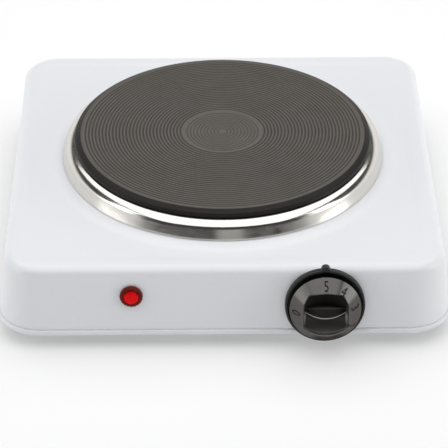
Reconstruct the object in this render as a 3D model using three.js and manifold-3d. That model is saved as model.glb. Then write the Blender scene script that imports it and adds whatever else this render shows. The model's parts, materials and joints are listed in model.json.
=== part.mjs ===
// Electric hot plate with one cast-iron plate, as an assembly of separate pieces.
// Millimetres, +Z up, front towards -Y. The model is laid out round the plate's axis, with the
// worktop at z = 0, and is centred over its footprint at the end.
import * as THREE from 'three';
import { mergeVertices } from 'three/addons/utils/BufferGeometryUtils.js';
import Module from 'manifold-3d';

const wasm = await Module();
wasm.setup();

const GAP = 0.3;                                    // clearance between touching pieces
const CUT = 1;                                      // how far a cutter runs past what it cuts
const BIG_SIDES = 52;
const MID_SIDES = 32;
const SMALL_SIDES = 16;
const SCREW_SIDES = 12;
const OUTER_STEPS = 6;                              // facets across the housing's top bend
const INNER_STEPS = 3;

const DECK_Z = 53;                                  // flat top of the housing
const WALL_SLOPE = THREE.MathUtils.degToRad(6.5);   // walls lean in towards the top
const HOUSING = {
  halfX: 129.8, halfY: 126.5, centreY: -3.05, corner: 21, fillet: 6, wall: 1, height: 43,
  lipHeight: 3, lipReach: 1.1, lipEdge: 0.7, holeRadius: 82,
};
const PLATE = {
  radius: 92.5, top: 15.5, flatRadius: 88.8, rimTop: 13.9, rimBottom: 11.2, neckRadius: 89.4, bottom: 2,
  recessRadius: 85.6, recessTop: 9, bossRadius: 22, studHoleTop: 12, edge: 0.5,
};
const RING = {
  outerRadius: 100.7, foot: GAP, crestRadius: 91.9, crestTop: 10.9, wallRadius: 90.1, sheet: 0.8,
  flangeBottom: 0.9, flangeRadius: 84.2, edge: 0.5,
};
const CEMENT = { inner: 23, outer: 84.9, top: 8.7, bottom: 3.2, channelHalf: 2.6, channelTop: 7.4 };
const COILS = { inner: 36, middle: 54, outer: 72 };
const COIL = { wire: 1.6, z: 5.2, openDeg: 16 };
const COVER = { radius: 84.9, top: 2.7, bottom: 1.9, hole: 5, pinHole: 4 };
const STUD = { radius: 4, top: 11, bottom: -26 };
const CLAMP = {
  halfWidth: 11, sheet: 2, shoulder: 98, bend: 84, floorBend: 66, fold: 1, drop: -17, hole: 4.6,
};
const WASHER = { radius: 9, hole: 4.4, thickness: 1.6 };
const NUT = { acrossFlats: 13, height: 6.5 };
const PLATE_BLOCK = {
  x: 0, y: 50, sizeX: 34, sizeY: 16, sizeZ: 12, pinOffset: 10, pinRadius: 1.5, pinBelow: 5, pinTop: 2.3,
};
const FOOT = {
  x: 108, y: 95, radius: 10, baseRadius: 8.5, height: 10.9, bore: 2.5, recess: 5, recessTop: 4.6, edge: 1,
};
const FOOT_SCREW = { radius: 1.9, head: 4.2, headBottom: 2.4, headEdge: 0.8, headTop: 4.2, top: 17.5 };
const BASE = {
  inset: 1.4, bottom: 11.2, thickness: 0.8, slotLength: 34, slotWidth: 3.6, slotPitch: 10, slots: 7,
};
const BRACKET = { sheet: 1.2, length: 18, rise: 16, tabHalf: 9, clear: 0.4 };
const KNOB_AT = { x: 58.6, below: 22.6 };
const LAMP_AT = { x: -54.9, below: 17 };
const GROMMET_AT = { x: 84, below: 26 };
const BEZEL = {
  outer: 23.5, inner: 21.9, height: 4.4, edge: 0.8, floor: 1.5, hole: 4.6,
  pointerHalf: 2.3, pointerReach: 2.6,
};
const KNOB = {
  back: 7.4, skirtRadius: 21, skirtEdge: 0.9, front: 15, faceRadius: 14.2, edge: 0.6, shell: 1.8,
  hub: 6, hubBack: 2.2, coreBack: 6.4, coreRadius: 13.8, coreFlare: 0.8, barHalf: 3.7, barFront: 13.4,
  scoopRadius: 13, scoopFloor: 8.8, bore: 3.12,
};
const SHAFT = { radius: 3, front: 10.6, back: -18, flat: 1.6, wallHole: 4, bearing: 3.15 };
const CLIP = { thickness: 0.5, halfWidth: 2, back: 3.4, front: 8.6 };
const STAT_PLATE = { halfX: 21, halfY: 10, front: -1.4, sheet: 1 };
const STAT_BODY = { halfX: 17.5, halfY: 11.5, front: -2.8, back: -15, screwHole: 2.3 };
const STAT_SCREW = {
  x: 13, radius: 1.9, head: 3.5, headTop: 3.6, headBottom: 1.9, edge: 0.8, end: -9, tip: 1,
};
const TAB = { x: 11, y: -7, width: 6.3, sheet: 0.8, back: -26, seat: -11 };
const BLADE = {
  pivotX: -12.5, y: 5.5, z: -19.8, reach: 24, width: 6, sheet: 0.6, eye: 1.9,
  pin: 1, earHole: 1.1, pinHole: 1.15,
};
const EAR = { back: -22.6, half: 3, thickness: 1.6, gap: 0.4 };
const LENS = {
  rim: 6.75, rimHeight: 1.3, edge: 0.5, dome: 6.1, domeFront: 3.4, barrel: 5.2, bore: 4.3,
  back: -9, roof: 1.6, hole: 5.6,
};
const RETAINER = { inner: 5.5, outer: 9, front: -1.4, thickness: 0.8 };
const NEON = { radius: 2.6, front: -1.5, back: -15 };
const LAMP_SOCKET = { outer: 4, bore: 2.9, front: -9.6, back: -20, floor: -17 };
const GROMMET = {
  flange: 9, outside: 3.4, edge: 1, barrel: 6.7, inside: -4.6, retainer: 8.4, bore: 4, hole: 7,
};
const MAINS_BLOCK = {
  x: 60, y: 84, z: 12.4, sizeX: 41, sizeY: 18, sizeZ: 14, pitch: 10, bore: 2.4, boreZ: 20.4, leadIn: 5,
  screw: 1.6, screwHead: 3.2, screwDepth: 3.4, holeDepth: 4,
};
const POLES = { plateNeutral: -1.5, lampNeutral: -0.5, live: 0.5, earth: 1.5 };
const EARTH = {
  x: 94, y: 50, radius: 1.9, head: 3.6, tabThickness: 0.8, tabRadius: 4.2, tongueHalf: 3.1, tongue: 13,
  nut: 7, nutHeight: 3, screwEnd: 4.5,
};
const SCREW_HEAD = { height: 1.6, edge: 0.8, side: 1 };
const FUSE = { x: 36, y: 2, z: 40, radius: 2.1, length: 14 };
const WIRE_RADIUS = 1.3;
const WIRE_SIDES = 8;
const WIRE_STEPS = 18;

const paint = (color, roughness, metalness) => ({ color, roughness, metalness });
const FINISH = {
  enamel: paint(0xeceff2, 0.3, 0), castIron: paint(0x5b5751, 0.75, 0.3), stainless: paint(0xd8d6d0, 0.16, 1),
  blackPlastic: paint(0x2a2b2b, 0.35, 0), knobPlastic: paint(0x5d5852, 0.3, 0.1),
  redLens: paint(0xcc0505, 0.2, 0),
  rubber: paint(0x232323, 0.85, 0), zinc: paint(0xb4b8ba, 0.35, 0.9), ceramic: paint(0xe9e4d8, 0.55, 0),
  cement: paint(0xb9b2a2, 0.95, 0), brass: paint(0xc29a4a, 0.35, 0.9), glass: paint(0xe8ecec, 0.08, 0),
  copper: paint(0xb87348, 0.35, 0.9), brownWire: paint(0x6b3f26, 0.6, 0), blueWire: paint(0x2a5fa8, 0.6, 0),
  whiteWire: paint(0xe6e2d6, 0.75, 0), greenWire: paint(0x7fa52e, 0.6, 0),
  resistance: paint(0x8d8880, 0.45, 0.9),
};

const assembly = new THREE.Group();

function put(name, geometry, finish, parent = assembly) {
  const mesh = new THREE.Mesh(geometry, new THREE.MeshStandardMaterial(FINISH[finish]));
  mesh.name = name;
  parent.add(mesh);
  return mesh;
}

// Booleans ---------------------------------------------------------------------------------

function solid(geometry) {
  const bare = geometry.clone();
  bare.deleteAttribute('normal');
  bare.deleteAttribute('uv');
  const merged = mergeVertices(bare);
  return new wasm.Manifold(new wasm.Mesh({
    numProp: 3,
    vertProperties: new Float32Array(merged.attributes.position.array),
    triVerts: new Uint32Array(merged.index.array),
  }));
}

function surface(body) {
  const mesh = body.getMesh();
  const geometry = new THREE.BufferGeometry();
  geometry.setAttribute('position', new THREE.BufferAttribute(new Float32Array(mesh.vertProperties), 3));
  geometry.setIndex(new THREE.BufferAttribute(new Uint32Array(mesh.triVerts), 1));
  geometry.computeVertexNormals();
  return geometry;
}

function cut(geometry, ...cutters) {
  return surface(cutters.reduce((body, cutter) => body.subtract(solid(cutter)), solid(geometry)));
}

function join(geometry, ...others) {
  return surface(others.reduce((body, other) => body.add(solid(other)), solid(geometry)));
}

// Basic shapes -----------------------------------------------------------------------------

// A turned piece about Z, from [radius, height] points that run bottom to top on the outside.
function turned(points, sides) {
  const profile = points.map(([radius, z]) => new THREE.Vector2(radius, z));
  return new THREE.LatheGeometry(profile, sides).rotateX(Math.PI / 2);
}

// A turned piece with a hole down its axis: the profile closes on itself.
function ring(points, sides) {
  return turned([...points, points[0]], sides);
}

function rod(radius, bottom, top, sides = SMALL_SIDES) {
  return new THREE.CylinderGeometry(radius, radius, top - bottom, sides)
    .rotateX(Math.PI / 2)
    .translate(0, 0, (top + bottom) / 2);
}

function tubeRing(outer, inner, bottom, top, sides = SMALL_SIDES) {
  return ring([[inner, bottom], [outer, bottom], [outer, top], [inner, top]], sides);
}

function hexNut(acrossFlats, hole, bottom, top) {
  return cut(rod(acrossFlats / Math.sqrt(3), bottom, top, 6), rod(hole, bottom - CUT, top + CUT));
}

// A block from its low corner to its high corner.
function block(x0, y0, z0, x1, y1, z1) {
  return new THREE.BoxGeometry(x1 - x0, y1 - y0, z1 - z0)
    .translate((x0 + x1) / 2, (y0 + y1) / 2, (z0 + z1) / 2);
}

function roundedRectangle(halfX, halfY, corner) {
  const shape = new THREE.Shape();
  shape.moveTo(halfX - corner, -halfY);
  shape.absarc(halfX - corner, corner - halfY, corner, -Math.PI / 2, 0);
  shape.absarc(halfX - corner, halfY - corner, corner, 0, Math.PI / 2);
  shape.absarc(corner - halfX, halfY - corner, corner, Math.PI / 2, Math.PI);
  shape.absarc(corner - halfX, corner - halfY, corner, Math.PI, Math.PI * 1.5);
  return shape;
}

function plateOf(shape, bottom, top, curveSegments = 6) {
  return new THREE.ExtrudeGeometry(shape, { depth: top - bottom, bevelEnabled: false, curveSegments })
    .translate(0, 0, bottom);
}

// A rounded rectangle that grows or shrinks with height, from [offset, height] rows.
function flared(halfX, halfY, corner, rows) {
  const last = rows.length - 1;
  const geometry = new THREE.ExtrudeGeometry(roundedRectangle(halfX, halfY, corner), {
    depth: last, steps: last, bevelEnabled: false, curveSegments: 4,
  });
  const position = geometry.attributes.position;
  for (let i = 0; i < position.count; i += 1) {
    const [offset, z] = rows[Math.round(position.getZ(i))];
    const centreX = THREE.MathUtils.clamp(position.getX(i), corner - halfX, halfX - corner);
    const centreY = THREE.MathUtils.clamp(position.getY(i), corner - halfY, halfY - corner);
    const reach = (corner + offset) / corner;
    const x = centreX + (position.getX(i) - centreX) * reach;
    const y = centreY + (position.getY(i) - centreY) * reach;
    position.setXYZ(i, x, y, z);
  }
  return geometry;
}

// A round wire along a smooth curve through the given points.
function wire(points, radius = WIRE_RADIUS, steps = WIRE_STEPS, sides = WIRE_SIDES) {
  const section = new THREE.Shape();
  section.absarc(0, 0, radius, 0, Math.PI * 2);
  const route = new THREE.CatmullRomCurve3(points.map((point) => new THREE.Vector3(...point)));
  return new THREE.ExtrudeGeometry(section, { steps, curveSegments: sides / 2, extrudePath: route });
}

// The four corners, with the signs of their x and y.
const CORNERS = [['front_left', -1, -1], ['front_right', 1, -1], ['back_left', -1, 1], ['back_right', 1, 1]];

// A group whose origin is on the housing's outer wall, with +Z out of the wall and +X along it.
function wallGroup(x, below, back = false) {
  const turn = new THREE.Group();
  const wall = new THREE.Group();
  const side = back ? 1 : -1;
  const y = HOUSING.centreY + side * (HOUSING.halfY + below * Math.tan(WALL_SLOPE));
  turn.position.set(x, y, DECK_Z - below);
  turn.rotation.z = back ? Math.PI : 0;
  wall.rotation.x = Math.PI / 2 - WALL_SLOPE;
  turn.add(wall);
  assembly.add(turn);
  return wall;
}

// Outer shell ------------------------------------------------------------------------------

function wallOffset(z) {
  return -z * Math.tan(WALL_SLOPE);
}

// The bend between wall and deck, drawn about the outer fillet's centre at the given radius.
function filletRows(radius, steps) {
  const { fillet } = HOUSING;
  const centre = fillet * Math.tan(WALL_SLOPE) - fillet / Math.cos(WALL_SLOPE);
  return Array.from({ length: steps + 1 }, (_, i) => {
    const angle = WALL_SLOPE + (i / steps) * (Math.PI / 2 - WALL_SLOPE);
    return [centre + radius * Math.cos(angle), -fillet + radius * Math.sin(angle)];
  });
}

// The shell's outer face from the lip up to the deck, as [offset, height above the deck].
function outerRows() {
  const { fillet, height, lipHeight, lipReach, lipEdge } = HOUSING;
  const lipTop = lipHeight - height;
  const lipOut = wallOffset(lipTop) + lipReach;
  return [
    [lipOut - lipEdge, -height], [lipOut, -height + lipEdge],
    [lipOut, lipTop - lipEdge], [lipOut - lipReach + GAP, lipTop],
    ...filletRows(fillet, OUTER_STEPS),
  ];
}

function innerRows() {
  const { fillet, height, wall } = HOUSING;
  return [[wallOffset(-height) - wall, -height - CUT], ...filletRows(fillet - wall, INNER_STEPS)];
}

function placed(group, geometry) {
  group.updateWorldMatrix(true, false);
  return geometry.applyMatrix4(group.matrixWorld);
}

function makeHousing(holes) {
  const { halfX, halfY, corner, centreY, holeRadius } = HOUSING;
  const outer = flared(halfX, halfY, corner, outerRows()).translate(0, centreY, DECK_Z);
  const inner = flared(halfX, halfY, corner, innerRows()).translate(0, centreY, DECK_Z);
  const mouth = rod(holeRadius, DECK_Z - HOUSING.wall - CUT, DECK_Z + CUT, BIG_SIDES);
  put('housing', cut(outer, inner, mouth, ...holes), 'enamel');
}

function makeBase() {
  const { inset, bottom, thickness, slotLength, slotWidth, slotPitch, slots } = BASE;
  const grow = wallOffset(bottom - DECK_Z) - HOUSING.wall - inset;
  const top = bottom + thickness;
  const outline = roundedRectangle(HOUSING.halfX + grow, HOUSING.halfY + grow, HOUSING.corner + grow);
  for (const side of [-1, 1]) {
    for (let i = 0; i < slots; i += 1) {
      const x = (i - (slots - 1) / 2) * slotPitch;
      const y = side * HOUSING.halfY / 2;
      const slot = new THREE.Path();
      slot.absarc(x, y + slotLength / 2, slotWidth / 2, 0, Math.PI);
      slot.absarc(x, y - slotLength / 2, slotWidth / 2, Math.PI, Math.PI * 2);
      outline.holes.push(slot);
    }
  }
  const sheet = plateOf(outline, bottom, top, 3).translate(0, HOUSING.centreY, 0);
  const drill = (x, y, radius) => rod(radius, bottom - CUT, top + CUT, SCREW_SIDES).translate(x, y, 0);
  const screws = CORNERS.map(([, sx, sy]) => drill(sx * FOOT.x, HOUSING.centreY + sy * FOOT.y, FOOT.bore));
  screws.push(drill(EARTH.x, EARTH.y, EARTH.radius + GAP));
  screws.push(drill(MAINS_BLOCK.x, MAINS_BLOCK.y, MAINS_BLOCK.screw + GAP));
  put('base_plate', cut(sheet, ...screws), 'zinc');
}

function makeFeet() {
  const { radius, baseRadius, height, bore, recess, recessTop, edge } = FOOT;
  const bolt = FOOT_SCREW;
  const profile = [
    [recess, 0], [baseRadius - edge, 0], [baseRadius, edge], [radius, height - edge], [radius - edge, height],
    [bore, height], [bore, recessTop], [recess, recessTop],
  ];
  const tab = BASE.bottom + BASE.thickness + GAP;
  for (const [corner, sx, sy] of CORNERS) {
    const x = sx * FOOT.x;
    const y = HOUSING.centreY + sy * FOOT.y;
    put(`foot_${corner}`, ring(profile, SMALL_SIDES), 'rubber').position.set(x, y, 0);
    const screw = turned([
      [0, bolt.headBottom], [bolt.head - bolt.headEdge, bolt.headBottom],
      [bolt.head, bolt.headBottom + bolt.headEdge], [bolt.head, bolt.headTop],
      [bolt.radius, bolt.headTop], [bolt.radius, bolt.top], [0, bolt.top],
    ], SCREW_SIDES);
    put(`foot_screw_${corner}`, screw, 'zinc').position.set(x, y, 0);
    put(`corner_bracket_${corner}`, cornerBracket(sx, tab), 'zinc').position.set(0, y, 0);
  }
}

// A folded tab: flat under the screw, then up along the side wall at the wall's own slope.
function cornerBracket(side, bottom) {
  const { sheet, length, rise, tabHalf } = BRACKET;
  const inner = (z) => HOUSING.halfX + wallOffset(z - DECK_Z) - HOUSING.wall - BRACKET.clear;
  const top = bottom + rise;
  const profile = new THREE.Shape();
  profile.moveTo(FOOT.x - tabHalf, bottom);
  profile.lineTo(inner(bottom), bottom);
  profile.lineTo(inner(top), top);
  profile.lineTo(inner(top) - sheet, top);
  profile.lineTo(inner(bottom + sheet) - sheet, bottom + sheet);
  profile.lineTo(FOOT.x - tabHalf, bottom + sheet);
  const tab = plateOf(profile, -length / 2, length / 2).rotateX(Math.PI / 2);
  const folded = side < 0 ? tab.rotateZ(Math.PI) : tab;
  const hole = rod(FOOT_SCREW.radius + GAP, bottom - CUT, bottom + sheet + CUT, SCREW_SIDES)
    .translate(side * FOOT.x, 0, 0);
  return cut(folded, hole);
}

// Plate, heating coils and clamp ------------------------------------------------------------

function above(points) {
  return points.map(([radius, z]) => [radius, DECK_Z + z]);
}

function makePlate() {
  const p = PLATE;
  put('hot_plate', turned(above([
    [0, p.studHoleTop], [STUD.radius + GAP, p.studHoleTop], [STUD.radius + GAP, p.bottom],
    [p.bossRadius, p.bottom], [p.bossRadius, p.recessTop], [p.recessRadius, p.recessTop],
    [p.recessRadius, p.bottom], [p.neckRadius, p.bottom], [p.neckRadius, p.rimBottom],
    [p.radius, p.rimBottom], [p.radius, p.rimTop - p.edge], [p.radius - p.edge, p.rimTop],
    [p.flatRadius, p.top], [0, p.top],
  ]), BIG_SIDES), 'castIron');
}

function makeSpillRing() {
  const r = RING;
  const arc = (reach, steps) => Array.from({ length: steps + 1 }, (_, i) => {
    const angle = (i / steps) * Math.PI / 2;
    const width = reach - r.crestRadius;
    const rise = r.crestTop - r.foot - (r.outerRadius - reach);
    return [r.crestRadius + width * Math.sin(angle), r.foot + rise * Math.cos(angle)];
  });
  const outside = arc(r.outerRadius, 6).reverse();
  const inside = arc(r.outerRadius - r.sheet, 4);
  put('spill_ring', ring(above([
    ...outside, [r.wallRadius + r.edge, r.crestTop - r.edge], [r.wallRadius, r.crestTop - 3 * r.edge],
    [r.wallRadius, r.flangeBottom + r.sheet], [r.flangeRadius, r.flangeBottom + r.sheet],
    [r.flangeRadius, r.flangeBottom], [r.wallRadius + r.sheet, r.flangeBottom],
    [r.wallRadius + r.sheet, r.crestTop - 4 * r.edge], ...inside,
  ]), BIG_SIDES), 'stainless');
}

function makeCement() {
  const { inner, outer, top, bottom, channelHalf, channelTop } = CEMENT;
  const underside = Object.values(COILS).flatMap((radius) => [
    [radius - channelHalf, bottom], [radius - channelHalf, channelTop],
    [radius + channelHalf, channelTop], [radius + channelHalf, bottom],
  ]);
  put('insulation_cement', ring(above([
    [inner, bottom], ...underside, [outer, bottom], [outer, top], [inner, top],
  ]), MID_SIDES), 'cement');
}

function makeCoils() {
  for (const [place, radius] of Object.entries(COILS)) {
    const open = THREE.MathUtils.degToRad(COIL.openDeg);
    const start = Math.PI / 2 + open / 2;
    const sweep = Math.PI * 2 - open;
    const count = 24;
    const points = Array.from({ length: count + 1 }, (_, i) => {
      const angle = start + (i / count) * sweep;
      return [radius * Math.cos(angle), radius * Math.sin(angle), DECK_Z + COIL.z];
    });
    put(`heating_coil_${place}`, wire(points, COIL.wire, 36, 6), 'resistance');
  }
}

function pinHoles(bottom, top, radius) {
  return [-1, 1].map((side) => rod(radius, bottom, top, SCREW_SIDES)
    .translate(PLATE_BLOCK.x + side * PLATE_BLOCK.pinOffset, PLATE_BLOCK.y, 0));
}

function makeCover() {
  const { radius, top, bottom, hole, pinHole } = COVER;
  const disc = tubeRing(radius, hole, DECK_Z + bottom, DECK_Z + top, BIG_SIDES);
  const boss = rod(PLATE.bossRadius + GAP, DECK_Z + PLATE.bottom - GAP, DECK_Z + top + CUT, MID_SIDES);
  const holes = pinHoles(DECK_Z + bottom - CUT, DECK_Z + top + CUT, pinHole);
  put('plate_bottom_cover', cut(disc, boss, ...holes), 'zinc');
}

function makeClamp() {
  const { halfWidth, sheet, shoulder, bend, floorBend, fold, drop, hole } = CLAMP;
  const roof = -HOUSING.wall - GAP;
  const right = [
    [floorBend, drop], [bend, roof], [shoulder, roof],
    [shoulder, roof - sheet], [bend - fold, roof - sheet], [floorBend - fold, drop - sheet],
  ];
  const left = right.map(([x, z]) => [-x, z]).reverse();
  const profile = new THREE.Shape([...right, ...left].map(([x, z]) => new THREE.Vector2(x, DECK_Z + z)));
  const bar = plateOf(profile, -halfWidth, halfWidth).rotateX(Math.PI / 2);
  put('clamp_bar', cut(bar, rod(hole, DECK_Z + drop - sheet - CUT, DECK_Z + drop + CUT)), 'zinc');

  put('centre_stud', rod(STUD.radius, DECK_Z + STUD.bottom, DECK_Z + STUD.top), 'zinc');
  const washerTop = DECK_Z + drop - sheet - GAP;
  const washerBottom = washerTop - WASHER.thickness;
  put('clamp_washer', tubeRing(WASHER.radius, WASHER.hole, washerBottom, washerTop), 'zinc');
  const nutTop = washerBottom - GAP;
  put('clamp_nut', hexNut(NUT.acrossFlats, STUD.radius + GAP, nutTop - NUT.height, nutTop), 'zinc');
}

function makePlateBlock() {
  const { x, y, sizeX, sizeY, sizeZ, pinRadius, pinBelow, pinTop } = PLATE_BLOCK;
  const top = DECK_Z + COVER.bottom - GAP;
  const bottom = top - sizeZ;
  const body = block(x - sizeX / 2, y - sizeY / 2, bottom, x + sizeX / 2, y + sizeY / 2, top);
  put('plate_terminal_block', cut(body, ...pinHoles(bottom - CUT, top + CUT, pinRadius + GAP)), 'ceramic');
  const pins = pinHoles(bottom - pinBelow, DECK_Z + pinTop, pinRadius);
  put('plate_pin_live', pins[0], 'brass');
  put('plate_pin_neutral', pins[1], 'brass');
}

// Control: bezel, knob, shaft and thermostat -------------------------------------------------

// The two holes for the screws that hold the thermostat to the front wall.
function screwHoles(radius, back, front) {
  return [-1, 1].map((side) => rod(radius, back, front, SCREW_SIDES).translate(side * STAT_SCREW.x, 0, 0));
}

function makeBezel(wall) {
  const { outer, inner, height, edge, floor, hole, pointerHalf, pointerReach } = BEZEL;
  const dish = ring([
    [hole, GAP], [outer, GAP], [outer, height - edge], [outer - edge, height], [inner, height],
    [inner, floor], [hole, floor],
  ], MID_SIDES);
  const pointer = new THREE.Shape();
  pointer.moveTo(-pointerHalf, outer - edge);
  pointer.lineTo(pointerHalf, outer - edge);
  pointer.lineTo(pointerHalf - edge, outer + pointerReach);
  pointer.lineTo(edge - pointerHalf, outer + pointerReach);
  const screws = screwHoles(STAT_SCREW.radius + GAP, -CUT, floor + CUT);
  const lipTop = (HOUSING.lipHeight - HOUSING.height + KNOB_AT.below) / Math.cos(WALL_SLOPE) + 2 * GAP;
  const lipNotch = block(-outer, -outer - CUT, 0, outer, lipTop, HOUSING.lipReach + 2 * GAP);
  const joined = join(dish, plateOf(pointer, GAP, height - edge / 2));
  put('knob_bezel', cut(joined, lipNotch, ...screws), 'blackPlastic', wall);
}

// A pocket beside the grip bar, with a flat wall at the bar and a round far wall.
function scoop(side) {
  const { scoopRadius, scoopFloor, barHalf, front } = KNOB;
  const start = Math.asin(barHalf / scoopRadius) + (side < 0 ? Math.PI : 0);
  const end = start + Math.PI - 2 * Math.asin(barHalf / scoopRadius);
  const shape = new THREE.Shape();
  shape.absarc(0, 0, scoopRadius, start, end);
  return plateOf(shape, scoopFloor, front + CUT, 12);
}

function makeKnob(wall) {
  const k = KNOB;
  const skin = turned([
    [0, k.coreBack], [k.coreRadius, k.coreBack], [k.coreRadius + k.coreFlare, k.back + k.shell],
    [k.skirtRadius - k.shell, k.back], [k.skirtRadius, k.back], [k.skirtRadius, k.back + k.skirtEdge],
    [k.faceRadius, k.front - k.edge], [k.faceRadius - k.edge, k.front], [0, k.front],
  ], MID_SIDES);
  const hub = rod(k.hub, k.hubBack, k.coreBack + CUT);
  const overBar = rod(k.scoopRadius, k.barFront, k.front + CUT, MID_SIDES);
  const bore = cut(rod(k.bore, k.hubBack - CUT, SHAFT.front + GAP), block(
    -k.bore, SHAFT.flat + GAP / 2, k.hubBack - 2 * CUT, k.bore, k.bore, SHAFT.front + CUT));
  const slotTop = SHAFT.flat + CLIP.thickness + 2 * GAP;
  const clipSlot = block(-CLIP.halfWidth - GAP, SHAFT.flat, CLIP.back - GAP,
    CLIP.halfWidth + GAP, slotTop, CLIP.front + GAP);
  put('knob', cut(join(skin, hub), overBar, scoop(1), scoop(-1), bore, clipSlot), 'knobPlastic', wall);

  const clip = block(-CLIP.halfWidth, SHAFT.flat + GAP, CLIP.back, CLIP.halfWidth,
    SHAFT.flat + GAP + CLIP.thickness, CLIP.front);
  put('knob_spring_clip', clip, 'zinc', wall);
}

function makeShaft(wall) {
  const { radius, front, back, flat } = SHAFT;
  const round = rod(radius, back, front);
  put('control_shaft', cut(round, block(-radius, flat, 0, radius, radius + CUT, front + CUT)), 'zinc', wall);
}

function makeBracket(wall) {
  const { halfX, halfY, front, sheet } = STAT_PLATE;
  const back = front - sheet;
  const plate = block(-halfX, -halfY, back, halfX, halfY, front);
  const shaftHole = rod(SHAFT.wallHole, back - CUT, front + CUT);
  const holes = screwHoles(STAT_SCREW.radius + GAP, back - CUT, front + CUT);
  put('thermostat_bracket', cut(plate, shaftHole, ...holes), 'zinc', wall);
}

// One of the two ears on the thermostat's back that hold the blade's pivot pin.
function ear(side) {
  const near = BLADE.y + side * (BLADE.width / 2 + EAR.gap);
  const far = near + side * EAR.thickness;
  return block(BLADE.pivotX - EAR.half, Math.min(near, far), EAR.back,
    BLADE.pivotX + EAR.half, Math.max(near, far), STAT_BODY.back + CUT);
}

// A rod along the blade's pivot, between two y positions.
function pivotRod(radius, from, to) {
  return rod(radius, -to, -from, SCREW_SIDES).rotateX(Math.PI / 2).translate(BLADE.pivotX, 0, BLADE.z);
}

function makeThermostatBody(wall) {
  const { halfX, halfY, front, back, screwHole } = STAT_BODY;
  const tabSlots = [-1, 1].map((side) => block(
    side * TAB.x - TAB.width / 2 - GAP, TAB.y - TAB.sheet / 2 - GAP, back - CUT,
    side * TAB.x + TAB.width / 2 + GAP, TAB.y + TAB.sheet / 2 + GAP, TAB.seat + GAP));
  const body = join(block(-halfX, -halfY, back, halfX, halfY, front), ear(-1), ear(1));
  const shaftHole = rod(SHAFT.bearing, back - CUT, front + CUT);
  const holes = screwHoles(screwHole, STAT_SCREW.end - STAT_SCREW.tip, front + CUT);
  const pinHole = pivotRod(BLADE.earHole, 0, BLADE.y + BLADE.width);
  put('thermostat_body', cut(body, pinHole, shaftHole, ...tabSlots, ...holes), 'ceramic', wall);
}

function makeTerminals(wall) {
  const s = STAT_SCREW;
  for (const [place, side] of [['left', -1], ['right', 1]]) {
    const tab = block(side * TAB.x - TAB.width / 2, TAB.y - TAB.sheet / 2, TAB.back,
      side * TAB.x + TAB.width / 2, TAB.y + TAB.sheet / 2, TAB.seat);
    put(`thermostat_terminal_${place}`, tab, 'brass', wall);
    const screw = turned([
      [0, s.end], [s.radius, s.end], [s.radius, s.headBottom], [s.head, s.headBottom],
      [s.head, s.headTop - s.edge], [s.head - s.edge, s.headTop], [0, s.headTop],
    ], SCREW_SIDES);
    put(`thermostat_screw_${place}`, screw, 'zinc', wall).position.x = side * s.x;
  }
}

function makeBlade(wall) {
  const { pivotX, y, z, reach, width, sheet, eye, pin, pinHole } = BLADE;
  const low = y - width / 2;
  const high = y + width / 2;
  const ends = EAR.gap + EAR.thickness;
  put('blade_pivot_pin', pivotRod(pin, low - ends, high + ends), 'brass', wall);
  const strip = block(pivotX, low, z - sheet / 2, pivotX + reach, high, z + sheet / 2);
  const bore = pivotRod(pinHole, low - CUT, high + CUT);
  put('contact_blade', cut(join(pivotRod(eye, low, high), strip), bore), 'copper', wall);
}

// Pilot lamp ----------------------------------------------------------------------------------

function makeLamp(wall) {
  const l = LENS;
  const s = LAMP_SOCKET;
  const dome = [1, 2, 3].map((step) => {
    const angle = (step / 4) * Math.PI / 2;
    return [l.dome * Math.cos(angle), l.rimHeight + (l.domeFront - l.rimHeight) * Math.sin(angle)];
  });
  put('indicator_lens', turned([
    [0, l.roof], [l.bore, l.roof], [l.bore, l.back], [l.barrel, l.back], [l.barrel, GAP], [l.rim, GAP],
    [l.rim, l.rimHeight - l.edge], [l.rim - l.edge, l.rimHeight], ...dome, [0, l.domeFront],
  ], SMALL_SIDES), 'redLens', wall);
  const { inner, outer, front, thickness } = RETAINER;
  put('lamp_retainer', tubeRing(outer, inner, front - thickness, front), 'zinc', wall);
  const tip = NEON.radius / 2;
  put('neon_bulb', turned([
    [0, NEON.back], [NEON.radius, NEON.back], [NEON.radius, NEON.front - tip],
    [tip, NEON.front - GAP], [0, NEON.front],
  ], SMALL_SIDES), 'glass', wall);
  put('lamp_socket', turned([
    [0, s.back], [s.outer, s.back], [s.outer, s.front], [s.bore, s.front], [s.bore, s.floor], [0, s.floor],
  ], SMALL_SIDES), 'whiteWire', wall);
}

// Mains side ----------------------------------------------------------------------------------

function makeGrommet(wall) {
  const g = GROMMET;
  const behindWall = -HOUSING.wall - GAP;
  put('cord_grommet', ring([
    [g.bore, g.inside], [g.retainer - g.edge, g.inside], [g.retainer, g.inside + g.edge],
    [g.retainer, behindWall], [g.barrel, behindWall], [g.barrel, GAP], [g.flange, GAP],
    [g.flange, g.outside - g.edge], [g.flange - g.edge, g.outside], [g.bore, g.outside],
  ], SMALL_SIDES), 'rubber', wall);
}

// A screw from under the base plate, with its shank up to the given height.
function baseScrew(radius, head, top) {
  const { height, edge, side } = SCREW_HEAD;
  const seat = BASE.bottom - GAP;
  return turned([
    [0, seat - height], [head - edge, seat - height], [head, seat - side], [head, seat],
    [radius, seat], [radius, top], [0, top],
  ], SCREW_SIDES);
}

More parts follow.
